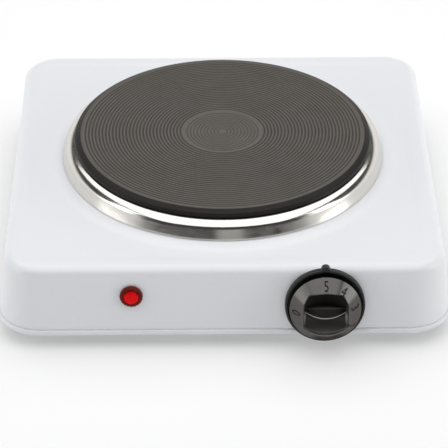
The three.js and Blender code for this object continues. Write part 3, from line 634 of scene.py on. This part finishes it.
def make_lens():
    rim_z = LENS_FRONT - LENS_DOME
    face = [(LENS_R * math.cos(a), rim_z + LENS_DOME * math.sin(a))
            for a in np.linspace(0, math.pi / 2, 12)]
    face[-1] = (0, LENS_FRONT)
    skirt = rounded([
        (0, 1.6, 0), (4.3, 1.6, 0.3), (4.3, LENS_BACK, 0.2), (LENS_BARREL_R, LENS_BACK, 0.2),
        (LENS_BARREL_R, GAP, 0.1), (LENS_FLANGE_R, GAP, 0.2), (LENS_FLANGE_R, 1.6, 0.5),
        (5.6, 2.6, 0.4), (4.8, 2.6, 0.2), (LENS_R, 2.0, 0.1), (LENS_R, rim_z, 0), (0, 0, 0),
    ])[:-2]
    rows = circle_rows([*skirt, *face], LENS_AROUND)
    angle = np.arange(LENS_AROUND) / LENS_AROUND * TURN
    flutes = 1 + FLUTE_DEPTH * np.cos(angle * FLUTES)
    height = rows[..., 2]
    fluted = (height > 1.1) & (height < 2.7) & (np.hypot(rows[..., 0], rows[..., 1]) > 4.5)
    for axis in (0, 1):
        rows[..., axis] = np.where(fluted, rows[..., axis] * flutes, rows[..., axis])
    return grid("lens_dome", rows, LAMP, loop=False)


def make_grommet():
    return lathe("inlet_grommet", [
        (4, -4.6, 0.3), (7.4, -4.6, 0.2), (8.4, -3.6, 0.3), (8.4, -1.3, 0.2), (6.7, -1.3, 0.1),
        (6.7, GAP, 0.1), (GROMMET_FLANGE_R, GAP, 0.2), (GROMMET_FLANGE_R, 2.0, 0.6),
        (7.8, 2.4, 0.3), (7.2, 3.4, 0.4), (5.4, 3.4, 0.3), (5.0, 2.6, 0.3), (4.6, 3.4, 0.3),
        (4, 3.0, 0.3),
    ], INLET)


# Underside --------------------------------------------------------------------------------------

def make_foot(corner):
    middle = centre_of(f"foot_{corner}")
    place = Matrix.Translation((middle.x, middle.y, 0))
    return lathe(f"pad_{corner}", [
        (FOOT_BORE_R, 4.6, 0.2), (5, 4.6, 0.3), (5, 0, 0.6), (7.3, 0, 0.5), (7.6, 0.5, 0.2),
        (7.9, 0, 0.3), (8.5, 0.9, 0.5), (9.2, 4.6, 0.3), (9.0, 5.0, 0.2), (9.4, 5.4, 0.3),
        (10, 9.9, 0.6), (9, 10.9, 0.4), (FOOT_BORE_R, 10.9, 0.2),
    ], place)


def sheet(name, loops, low, high):
    """A flat sheet with holes, from closed loops in mm; its edges are lightly rounded."""
    curve = bpy.data.curves.new(name, "CURVE")
    curve.dimensions = "2D"
    curve.fill_mode = "BOTH"
    for loop in loops:
        line = curve.splines.new("POLY")
        line.points.add(len(loop) - 1)
        for point, (x, y) in zip(line.points, loop):
            point.co = (x * MM, y * MM, 0, 1)
        line.use_cyclic_u = True
    curve.extrude = (high - low) * MM / 2 - SHEET_BEVEL * MM
    curve.bevel_depth = SHEET_BEVEL * MM
    curve.bevel_resolution = 1
    curve.offset = -SHEET_BEVEL * MM
    holder = bpy.data.objects.new(name, curve)
    bpy.context.scene.collection.objects.link(holder)
    bpy.context.view_layer.update()
    graph = bpy.context.evaluated_depsgraph_get()
    mesh = bpy.data.meshes.new_from_object(holder.evaluated_get(graph))
    bpy.data.objects.remove(holder)
    mesh.transform(Matrix.Translation((HOUSING_MID.x, HOUSING_MID.y, (low + high) / 2 * MM)))
    return finished(mesh, name)


def make_base():
    low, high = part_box("base_plate")
    half_x, half_y = (high.x - low.x) / 2 / MM, (high.y - low.y) / 2 / MM
    corner = CORNER + half_x - HALF_X
    loops = [rounded_rectangle(half_x, half_y, corner, 2, 14)[0]]
    angles = np.linspace(0, math.pi, 13)
    for side in (-1, 1):
        for i in range(-3, 4):
            mid = np.array([i * SLOT_PITCH, side * HALF_Y / 2])
            end = np.column_stack([np.cos(angles), np.sin(angles)]) * SLOT_R
            loops.append(np.vstack([end + mid + [0, SLOT_HALF], -end + mid - [0, SLOT_HALF]]))
    plate = sheet("base_sheet", loops, low.z / MM, high.z / MM)
    cutters = []
    bores = [(f"foot_{name}", FOOT_BORE_R) for name in CORNERS]
    for node, radius in [*bores, ("earth_screw", EARTH_BORE_R), ("block_screw", BLOCK_BORE_R)]:
        middle = centre_of(node)
        place = Matrix.Translation((middle.x, middle.y, (low.z + high.z) / 2))
        cutters.append(rod("cut_bore", radius, -3, 3, place, around=32))
    piece = carve(plate, cutters)
    level = piece.modifiers.new("level_normals", "WEIGHTED_NORMAL")
    level.keep_sharp = True
    return piece


# Materials --------------------------------------------------------------------------------------

class Finish:
    """One procedural material, built from layers of noise in object space."""

    def __init__(self, name, metallic=0.0, ior=1.5, coat=0.0, coat_roughness=0.05):
        self.material = bpy.data.materials.new(name)
        self.material.use_nodes = True
        self.tree = self.material.node_tree
        self.shader = self.tree.nodes["Principled BSDF"]
        self.shader.inputs["Metallic"].default_value = metallic
        self.shader.inputs["IOR"].default_value = ior
        self.shader.inputs["Coat Weight"].default_value = coat
        self.shader.inputs["Coat Roughness"].default_value = coat_roughness
        self.place = self.add("ShaderNodeTexCoord").outputs["Object"]

    def add(self, kind, **settings):
        node = self.tree.nodes.new(kind)
        for key, value in settings.items():
            setattr(node, key, value)
        return node

    def feed(self, socket, value):
        if isinstance(value, bpy.types.NodeSocket):
            self.tree.links.new(value, socket)
        else:
            socket.default_value = value

    def maths(self, operation, a, b=0.0):
        node = self.add("ShaderNodeMath", operation=operation)
        self.feed(node.inputs[0], a)
        self.feed(node.inputs[1], b)
        return node.outputs[0]

    def noise(self, scale, detail=3.0, rough=0.55, where=None):
        node = self.add("ShaderNodeTexNoise")
        self.feed(node.inputs["Vector"], self.place if where is None else where)
        node.inputs["Scale"].default_value = scale
        node.inputs["Detail"].default_value = detail
        node.inputs["Roughness"].default_value = rough
        return node.outputs[0]

    def cells(self, scale):
        node = self.add("ShaderNodeTexVoronoi")
        self.feed(node.inputs["Vector"], self.place)
        node.inputs["Scale"].default_value = scale
        return node.outputs["Color"]

    def span(self, value, low, high, start=0.3, end=0.7):
        node = self.add("ShaderNodeMapRange")
        self.feed(node.inputs["Value"], value)
        node.inputs["From Min"].default_value = start
        node.inputs["From Max"].default_value = end
        node.inputs["To Min"].default_value = low
        node.inputs["To Max"].default_value = high
        return node.outputs[0]

    def mix(self, share, a, b):
        node = self.add("ShaderNodeMix", data_type="RGBA")
        self.feed(node.inputs[0], share)
        self.feed(node.inputs[6], (*a, 1.0) if isinstance(a, tuple) else a)
        self.feed(node.inputs[7], (*b, 1.0) if isinstance(b, tuple) else b)
        return node.outputs[2]

    def edges(self, start=0.52, end=0.62):
        """1 on worn outer edges, 0 on flats."""
        sharp = self.add("ShaderNodeNewGeometry").outputs["Pointiness"]
        return self.span(sharp, 0.0, 1.0, start, end)

    def offsets(self, centre):
        """The distances along x, y and z from a centre, and the radius round it."""
        moved = self.add("ShaderNodeVectorMath", operation="SUBTRACT")
        self.feed(moved.inputs[0], self.place)
        moved.inputs[1].default_value = centre
        parts = self.add("ShaderNodeSeparateXYZ")
        self.feed(parts.inputs[0], moved.outputs[0])
        x, y, z = parts.outputs
        squared = self.maths("ADD", self.maths("MULTIPLY", x, x), self.maths("MULTIPLY", y, y))
        return x, y, z, self.maths("SQRT", squared)

    def about(self, centre, along, across, height):
        """Coordinates round a vertical axis, stretched for turned or brushed metal."""
        x, y, z, radius = self.offsets(centre)
        joined = self.add("ShaderNodeCombineXYZ")
        self.feed(joined.inputs[0], self.maths("MULTIPLY", radius, across))
        self.feed(joined.inputs[1], self.maths("MULTIPLY", self.maths("ARCTAN2", y, x), along))
        self.feed(joined.inputs[2], self.maths("MULTIPLY", z, height))
        return joined.outputs[0]

    def bump(self, height, strength, distance_mm, onto=None):
        node = self.add("ShaderNodeBump")
        self.feed(node.inputs["Height"], height)
        node.inputs["Strength"].default_value = strength
        node.inputs["Distance"].default_value = distance_mm * MM
        if onto is not None:
            self.feed(node.inputs["Normal"], onto)
        return node.outputs[0]

    def done(self, colour, roughness, normal):
        self.feed(self.shader.inputs["Base Color"], colour)
        self.feed(self.shader.inputs["Roughness"], roughness)
        self.feed(self.shader.inputs["Normal"], normal)
        return self.material


def plain(name, colour, tint, rough, grain, bump, worn=None, **basics):
    """A moulded, cast or plated finish: two tones, worn edges, uneven gloss and a fine grain."""
    f = Finish(name, **basics)
    tone = f.mix(f.span(f.noise(45, 4), 0.0, 1.0), colour, tint)
    speck = f.noise(grain, 5, 0.6)
    tone = f.mix(f.span(speck, 0.0, 0.5, 0.45, 0.75), tone, tint)
    if worn:
        patchy = f.maths("MULTIPLY", f.edges(), f.span(f.noise(300, 3), 0.0, 0.8, 0.4, 0.6))
        tone = f.mix(patchy, tone, worn)
    gloss = f.maths("ADD", f.span(f.noise(120, 4), rough[0], rough[1]), f.span(speck, 0.0, 0.04))
    coarse = f.bump(f.noise(60, 2), bump * 0.3, 0.12)
    return f.done(tone, gloss, f.bump(speck, bump, 0.05, coarse))


def enamel():
    f = Finish("white_enamel", ior=1.5, coat=0.2, coat_roughness=0.08)
    cloud = f.span(f.noise(7, 3), 0.0, 1.0, 0.1, 0.9)
    tone = f.mix(cloud, (0.80, 0.817, 0.851), (0.815, 0.831, 0.862))
    tone = f.mix(f.span(f.noise(800, 2), 0.0, 0.35, 0.3, 0.7), tone, (0.77, 0.785, 0.815))
    specks = f.span(f.noise(900, 4, 0.7), 0.0, 0.06, 0.66, 0.78)
    tone = f.mix(specks, tone, (0.60, 0.61, 0.62))
    worn = f.maths("MULTIPLY", f.edges(0.58, 0.75), f.span(f.noise(200, 3), 0.0, 0.08, 0.5, 0.65))
    tone = f.mix(worn, tone, (0.55, 0.56, 0.57))
    gloss = f.span(f.noise(9, 2), 0.28, 0.33, 0.0, 1.0)
    peel = f.bump(f.noise(260, 2), 0.04, 0.04)
    return f.done(tone, gloss, peel)


def cast_iron():
    f = Finish("cast_iron_coated", metallic=0.15, ior=1.45)
    depth = f.add("ShaderNodeAttribute", attribute_name="groove_shade").outputs["Fac"]
    tone = f.mix(f.span(f.noise(22, 5), 0.0, 1.0), (0.107, 0.096, 0.083), (0.122, 0.110, 0.096))
    grit = f.noise(1500, 5, 0.7)
    tone = f.mix(f.span(grit, 0.0, 0.4, 0.4, 0.7), tone, (0.075, 0.067, 0.057))
    turned = f.noise(1.0, 3, 0.6, f.about((PLATE_MID.x, PLATE_MID.y, 0), 2.5, 2600.0, 900.0))
    tone = f.mix(f.span(turned, 0.0, 0.2), tone, (0.13, 0.118, 0.103))
    # Painted shade: the groove valleys are darkened, the deepest most
    tone = f.mix(f.span(depth, 0.0, 1.0, 0.1, 0.9), tone, (0.034, 0.029, 0.024))
    radius = f.offsets((PLATE_MID.x, PLATE_MID.y, 0))[3]
    margin = f.span(radius, 0.0, 0.35, GROOVES[1] * MM, (GROOVES[1] + 0.3) * MM)
    tone = f.mix(margin, tone, (0.050, 0.044, 0.040))
    rim = f.span(radius, 0.0, 1.0, (PLATE_FLAT - 0.2) * MM, (PLATE_FLAT + 0.2) * MM)
    edge = f.mix(f.span(grit, 0.0, 1.0), (0.018, 0.015, 0.015), (0.025, 0.021, 0.021))
    tone = f.mix(rim, tone, edge)
    f.feed(f.shader.inputs["Specular IOR Level"], f.span(rim, 0.5, 0.15, 0.0, 1.0))
    rough = f.maths("ADD", f.span(f.noise(70, 4), 0.50, 0.62), f.span(grit, 0.0, 0.06))
    rough = f.maths("SUBTRACT", rough, f.maths("MULTIPLY", rim, 0.18))
    scored = f.bump(turned, 0.12, 0.04)
    return f.done(tone, rough, f.bump(grit, 0.22, 0.05, scored))


def stainless():
    f = Finish("polished_stainless", metallic=1.0)
    drawn = f.noise(1.0, 4, 0.6, f.about((PLATE_MID.x, PLATE_MID.y, 0), 5.0, 1800.0, 1800.0))
    stain = f.noise(35, 4)
    tone = f.mix(f.span(stain, 0.0, 1.0), (0.74, 0.72, 0.68), (0.80, 0.78, 0.74))
    tone = f.mix(f.span(drawn, 0.0, 0.35), tone, (0.62, 0.60, 0.56))
    rough = f.maths("ADD", f.span(f.noise(90, 4), 0.09, 0.15), f.span(drawn, 0.0, 0.06))
    ripple = f.bump(f.noise(28, 2), 0.06, 0.5)
    return f.done(tone, rough, f.bump(drawn, 0.05, 0.03, ripple))


def galvanised():
    f = Finish("galvanised", metallic=0.9)
    flake = f.span(f.cells(110), 0.0, 1.0, 0.0, 1.0)
    tone = f.mix(flake, (0.42, 0.44, 0.45), (0.60, 0.62, 0.63))
    tone = f.mix(f.span(f.noise(20, 5), 0.0, 0.35), tone, (0.36, 0.37, 0.37))
    rough = f.maths("ADD", f.span(f.noise(200, 4), 0.30, 0.42), f.span(flake, 0.0, 0.08, 0.0, 1.0))
    buckle = f.bump(f.noise(16, 2), 0.15, 0.5)
    return f.done(tone, rough, f.bump(f.noise(700, 4), 0.12, 0.04, buckle))


def red_lens():
    f = Finish("red_lens", ior=1.33)
    near = f.noise(350, 3)
    # Painted light: the colour is bright in the middle, where the bulb behind shines through, and
    # dark at the rim; the emission is the bulb's glow
    painted_glow = f.mix(f.span(near, 0.0, 1.0), (0.58, 0.001, 0.002), (0.68, 0.002, 0.003))
    x, _, z, _ = f.offsets(LAMP.translation)
    flat = f.maths("SQRT", f.maths("ADD", f.maths("MULTIPLY", x, x), f.maths("MULTIPLY", z, z)))
    rim = f.span(flat, 0.0, 1.0, 3.9 * MM, 4.6 * MM)
    edge = f.mix(f.span(near, 0.0, 1.0), (0.10, 0.008, 0.006), (0.16, 0.012, 0.010))
    tone = f.mix(rim, painted_glow, edge)
    f.feed(f.shader.inputs["Emission Color"], f.mix(rim, (0.45, 0.0, 0.0), (0.02, 0.0, 0.0)))
    f.shader.inputs["Emission Strength"].default_value = 0.25
    f.shader.inputs["Specular IOR Level"].default_value = 0.2
    return f.done(tone, f.span(f.noise(260, 3), 0.28, 0.34), f.bump(near, 0.1, 0.05))


def knob_plastic():
    """Glossy smoked skirt; rougher pocket faces painted dark as shade; painted highlights on the
    bar.
    """
    f = Finish("knob_plastic", ior=1.5)
    matte = f.add("ShaderNodeAttribute", attribute_name="matte").outputs["Fac"]
    painted_highlight = f.add("ShaderNodeAttribute", attribute_name="painted_highlight").outputs["Fac"]
    tone = f.mix(f.span(f.noise(45, 4), 0.0, 1.0), (0.052, 0.045, 0.040), (0.062, 0.054, 0.048))
    grain = f.noise(1500, 5)
    tone = f.mix(f.span(grain, 0.0, 0.4, 0.45, 0.75), tone, (0.068, 0.060, 0.054))
    worn = f.maths("MULTIPLY", f.edges(), f.span(f.noise(300, 3), 0.0, 0.5, 0.4, 0.6))
    tone = f.mix(worn, tone, (0.13, 0.12, 0.11))
    # Painted shade: the pocket's faces are made far darker than the skirt
    pocket_shade = f.mix(f.span(grain, 0.0, 1.0), (0.010, 0.008, 0.007), (0.016, 0.013, 0.011))
    tone = f.mix(matte, tone, pocket_shade)
    # Painted highlight on the bar's edges and the pocket's lower flanks
    tone = f.mix(painted_highlight, tone, (0.50, 0.46, 0.42))
    gloss = f.maths("ADD", f.span(f.noise(120, 4), 0.15, 0.21), f.maths("MULTIPLY", matte, 0.3))
    facing = f.add("ShaderNodeLayerWeight").outputs["Facing"]
    shine = f.span(facing, 0.85, 0.0, 0.1, 0.75)
    shine = f.maths("MULTIPLY", shine, f.span(matte, 1.0, 0.15, 0.0, 1.0))
    f.feed(f.shader.inputs["Specular IOR Level"], shine)
    return f.done(tone, gloss, f.bump(grain, 0.05, 0.04))


def braid():
    f = Finish("glass_braid")
    wave = f.add("ShaderNodeTexWave", wave_type="BANDS", bands_direction="DIAGONAL")
    f.feed(wave.inputs["Vector"], f.place)
    wave.inputs["Scale"].default_value = 380
    wave.inputs["Distortion"].default_value = 3
    tone = f.mix(wave.outputs["Fac"], (0.66, 0.63, 0.56), (0.80, 0.78, 0.71))
    return f.done(tone, f.span(f.noise(300, 3), 0.65, 0.85), f.bump(wave.outputs["Fac"], 0.4, 0.1))


MATERIALS = {
    "white_enamel": enamel(),
    "cast_iron": cast_iron(),
    "stainless": stainless(),
    "galvanised_sheet": galvanised(),
    "red_lens": red_lens(),
    "white_insulation": braid(),
    "black_plastic": plain(
        "black_plastic", (0.007, 0.008, 0.008), (0.012, 0.013, 0.013), (0.36, 0.46), 1800, 0.16,
        worn=(0.05, 0.05, 0.05), ior=1.42),
    "knob_plastic": knob_plastic(),
    "knob_print": plain(
        "knob_print", (0.008, 0.007, 0.007), (0.013, 0.012, 0.011), (0.75, 0.9), 1500, 0.1,
        ior=1.3),
    "rubber": plain(
        "rubber", (0.018, 0.018, 0.018), (0.030, 0.029, 0.028), (0.72, 0.85), 900, 0.35,
        worn=(0.06, 0.058, 0.055), ior=1.45),
    "zinc_steel": plain(
        "zinc_steel", (0.50, 0.51, 0.50), (0.60, 0.60, 0.57), (0.28, 0.38), 1100, 0.15,
        worn=(0.72, 0.72, 0.70), metallic=0.95),
    "ceramic": plain(
        "steatite", (0.72, 0.69, 0.61), (0.80, 0.77, 0.70), (0.48, 0.62), 800, 0.3,
        worn=(0.55, 0.51, 0.44)),
    "cement": plain(
        "cement", (0.44, 0.41, 0.34), (0.58, 0.54, 0.46), (0.88, 0.97), 500, 0.6,
        worn=(0.65, 0.61, 0.53)),
    "resistance_wire": plain(
        "oxidised_alloy", (0.20, 0.185, 0.165), (0.32, 0.29, 0.25), (0.38, 0.55), 900, 0.25,
        worn=(0.42, 0.39, 0.34), metallic=0.85),
    "brass": plain(
        "brass", (0.56, 0.36, 0.12), (0.68, 0.46, 0.18), (0.28, 0.36), 900, 0.12,
        worn=(0.80, 0.60, 0.28), metallic=0.97),
    "contact_alloy": plain(
        "contact_alloy", (0.55, 0.25, 0.12), (0.68, 0.34, 0.17), (0.28, 0.38), 900, 0.12,
        worn=(0.78, 0.46, 0.27), metallic=0.97),
    "glass": plain(
        "bulb_glass", (0.80, 0.83, 0.83), (0.72, 0.75, 0.75), (0.05, 0.10), 500, 0.04),
    "lamp_socket_plastic": plain(
        "socket_plastic", (0.62, 0.60, 0.54), (0.70, 0.68, 0.62), (0.40, 0.52), 900, 0.2,
        worn=(0.50, 0.48, 0.43)),
    "brown_insulation": plain(
        "brown_wire", (0.14, 0.055, 0.022), (0.19, 0.08, 0.035), (0.42, 0.55), 900, 0.18),
    "blue_insulation": plain(
        "blue_wire", (0.03, 0.11, 0.37), (0.045, 0.15, 0.45), (0.42, 0.55), 900, 0.18),
    "green_insulation": plain(
        "green_yellow_wire", (0.21, 0.37, 0.04), (0.62, 0.55, 0.04), (0.42, 0.55), 900, 0.18),
}
GLASS = MATERIALS["glass"].node_tree.nodes["Principled BSDF"]
GLASS.inputs["Transmission Weight"].default_value = 0.9


def dress(piece, slot, body, *nodes, finish=None):
    """Gives a piece the material of its finish, or else of its slot, puts it on its body, and makes
    it stand for its CAD nodes by hiding them.
    """
    piece.data.materials.clear()
    piece.data.materials.append(MATERIALS[finish or slot])
    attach(piece, body)
    if nodes:
        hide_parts(*nodes)


def dress_node(node, slot):
    """Keeps a CAD piece, with its own mesh, and gives it its material and softened edges."""
    piece = NODES[node]
    piece.data.materials.clear()
    piece.data.materials.append(MATERIALS[slot])
    weld = piece.modifiers.new("weld", "WELD")
    weld.merge_threshold = WELD_M
    edge = piece.modifiers.new("edge", "BEVEL")
    edge.width = NODE_BEVEL * MM
    edge.segments = 2
    edge.limit_method = "ANGLE"
    edge.angle_limit = math.radians(NODE_SHARP_DEG)


CARRIED = {
    "zinc_steel": [
        *[f"foot_screw_{c}" for c in CORNERS], "centre_stud", "clamp_washer", "clamp_nut",
        "knob_spring_clip", "control_shaft", "thermostat_screw_left", "thermostat_screw_right",
        "block_screw", "earth_nut", "earth_screw", "lamp_retainer"],
    "galvanised_sheet": [
        *[f"corner_bracket_{c}" for c in CORNERS], "plate_bottom_cover", "clamp_bar",
        "thermostat_bracket"],
    "cement": ["insulation_cement"],
    "resistance_wire": [
        "heating_coil_inner", "heating_coil_middle", "heating_coil_outer", "thermal_fuse"],
    "ceramic": ["plate_terminal_block", "thermostat_body", "mains_terminal_block"],
    "brass": [
        "plate_pin_live", "plate_pin_neutral", "thermostat_terminal_left",
        "thermostat_terminal_right", "blade_pivot_pin", "earth_tab"],
    "contact_alloy": ["contact_blade"],
    "glass": ["neon_bulb"],
    "lamp_socket_plastic": ["lamp_socket"],
    "brown_insulation": ["live_wire", "lamp_wire_live"],
    "blue_insulation": ["lamp_wire_neutral"],
    "white_insulation": ["fuse_wire", "plate_wire_live", "plate_wire_neutral"],
    "green_insulation": ["earth_wire"],
}
for slot_name, members in CARRIED.items():
    for member in members:
        dress_node(member, slot_name)

dress(make_housing(), "white_enamel", "base", "housing")
dress(make_plate(), "cast_iron", "base", "hot_plate")
dress(make_ring(), "stainless", "base", "spill_ring")
dress(make_bezel(), "black_plastic", "base", "knob_bezel")
dress(make_knob(), "knob_plastic", "knob", "knob")
dress(make_digits(), "knob_plastic", "knob", finish="knob_print")
dress(make_lens(), "red_lens", "base", "indicator_lens")
dress(make_grommet(), "rubber", "base", "cord_grommet")
dress(make_base(), "galvanised_sheet", "base", "base_plate")
for corner_name in CORNERS:
    dress(make_foot(corner_name), "rubber", "base", f"foot_{corner_name}")


# Studio -----------------------------------------------------------------------------------------

# Lengths in metres, angles in degrees; azimuth 0 is in front and 90 is to the right. TOP_AWAY and
# CAMERA_AWAY hold an azimuth, an elevation and a distance, and CAMERA_AHEAD is how far in front of
# the plate's middle the camera looks
FLOOR_HALF = 3.0
FLOOR_COLOUR = (0.67, 0.67, 0.675, 1)
FLOOR_GLOW = 0.30
TOP_AWAY = (180, 86, 1.15)
TOP_SIZE = (2.1, 2.38)
TOP_RADIANCE = 1.45
ROOM = 0.06
ROOM_COLOUR = (1.0, 0.99, 0.97, 1)
# Panes of light round the object: the angle they run along ("aside" is azimuth with its sign taken
# off), its range, the range of heights, the softness of the edges and the radiance
PANES = [
    ("aside", (58, 200), (-10, 22), 4, 0.9),
    ("azimuth", (-4, 13), (-10, 6), 2, 0.35),
    ("azimuth", (-91, -67), (5, 45), 2, 2.0),
    ("azimuth", (67, 91), (2, 42), 2, 2.7),
]
CAMERA_AWAY = (-0.66, 33.78, 1.3545)
CAMERA_AHEAD = 0.082
SENSOR_MM = 36.0
LENS_MM = 181.53


def away_from(azimuth_deg, elevation_deg):
    azimuth, elevation = math.radians(azimuth_deg), math.radians(elevation_deg)
    return Vector((math.sin(azimuth) * math.cos(elevation),
                   -math.cos(azimuth) * math.cos(elevation), math.sin(elevation)))


def make_floor():
    mesh = bpy.data.meshes.new("floor")
    corners = [(-1, -1), (1, -1), (1, 1), (-1, 1)]
    mesh.from_pydata([(x * FLOOR_HALF, y * FLOOR_HALF, 0) for x, y in corners], [], [(0, 1, 2, 3)])
    floor = bpy.data.objects.new("floor", mesh)
    bpy.context.scene.collection.objects.link(floor)
    material = bpy.data.materials.new("pale_paper")
    material.use_nodes = True
    shader = material.node_tree.nodes["Principled BSDF"]
    shader.inputs["Base Color"].default_value = FLOOR_COLOUR
    shader.inputs["Roughness"].default_value = 0.9
    shader.inputs["Specular IOR Level"].default_value = 0.1
    shader.inputs["Emission Color"].default_value = (1, 1, 1, 1)
    shader.inputs["Emission Strength"].default_value = FLOOR_GLOW
    mesh.materials.append(material)


def make_top_light():
    """A broad soft panel above, which faces the plate's middle."""
    azimuth_deg, elevation_deg, distance = TOP_AWAY
    away = away_from(azimuth_deg, elevation_deg)
    data = bpy.data.lights.new("top", "AREA")
    data.shape = "RECTANGLE"
    data.size, data.size_y = TOP_SIZE
    data.energy = TOP_RADIANCE * math.pi * TOP_SIZE[0] * TOP_SIZE[1]
    lamp = bpy.data.objects.new("top", data)
    bpy.context.scene.collection.objects.link(lamp)
    lamp.location = HOB.translation + away * distance
    lamp.rotation_mode = "QUATERNION"
    lamp.rotation_quaternion = away.to_track_quat("Z", "Y")
    lamp.visible_camera = False


def make_world():
    """White to the camera; to the object a dim room with soft panes of light round it."""
    world = bpy.data.worlds.new("studio")
    bpy.context.scene.world = world
    world.use_nodes = True
    tree = world.node_tree
    tree.nodes.clear()

    def feed(socket, value):
        if isinstance(value, bpy.types.NodeSocket):
            tree.links.new(value, socket)
        else:
            socket.default_value = value

    def add(kind, **inputs):
        node = tree.nodes.new(kind)
        for name, value in inputs.items():
            feed(node.inputs[name.replace("_", " ")], value)
        return node.outputs[0]

    def maths(operation, *values):
        node = tree.nodes.new("ShaderNodeMath")
        node.operation = operation
        for value, socket in zip(values, node.inputs):
            feed(socket, value)
        return node.outputs[0]

    def ramp(value, start, end, low, high):
        return add("ShaderNodeMapRange", Value=value, From_Min=start, From_Max=end, To_Min=low,
                   To_Max=high)

    def window(angle, low_deg, high_deg, soft_deg):
        low, high, soft = (math.radians(value) for value in (low_deg, high_deg, soft_deg))
        rise = ramp(angle, low - soft, low + soft, 0, 1)
        return maths("MULTIPLY", rise, ramp(angle, high - soft, high + soft, 1, 0))

    parts = tree.nodes.new("ShaderNodeSeparateXYZ")
    feed(parts.inputs[0], tree.nodes.new("ShaderNodeTexCoord").outputs["Generated"])
    x, y, z = parts.outputs
    azimuth = maths("ARCTAN2", x, maths("MULTIPLY", y, -1.0))
    angles = {"azimuth": azimuth, "aside": maths("ABSOLUTE", azimuth)}
    height = maths("ARCSINE", z)
    strength = ROOM
    for angle, across, up, soft_deg, radiance in PANES:
        around = window(angles[angle], *across, soft_deg)
        pane = maths("MULTIPLY", around, window(height, *up, soft_deg))
        strength = maths("ADD", ramp(pane, 0, 1, 0, radiance), strength)
    choose = tree.nodes.new("ShaderNodeMixShader")
    feed(choose.inputs[0], tree.nodes.new("ShaderNodeLightPath").outputs["Is Camera Ray"])
    feed(choose.inputs[1], add("ShaderNodeBackground", Color=ROOM_COLOUR, Strength=strength))
    feed(choose.inputs[2], add("ShaderNodeBackground", Color=(1, 1, 1, 1)))
    output = tree.nodes.new("ShaderNodeOutputWorld")
    feed(output.inputs[0], choose.outputs[0])


def make_camera():
    """A long lens, a third of the way up and nearly square on to the front."""
    azimuth_deg, elevation_deg, distance = CAMERA_AWAY
    back = away_from(azimuth_deg, elevation_deg)
    data = bpy.data.cameras.new("camera")
    data.sensor_width = SENSOR_MM
    data.lens = LENS_MM
    camera = bpy.data.objects.new("camera", data)
    bpy.context.scene.collection.objects.link(camera)
    target = Vector((PLATE_MID.x, PLATE_MID.y - CAMERA_AHEAD, DECK_Z))
    camera.location = target + back * distance
    camera.rotation_mode = "QUATERNION"
    camera.rotation_quaternion = (-back).to_track_quat("-Z", "Y")
    bpy.context.scene.camera = camera


make_floor()
make_world()
make_top_light()
make_camera()
bpy.context.scene.view_settings.view_transform = "Standard"
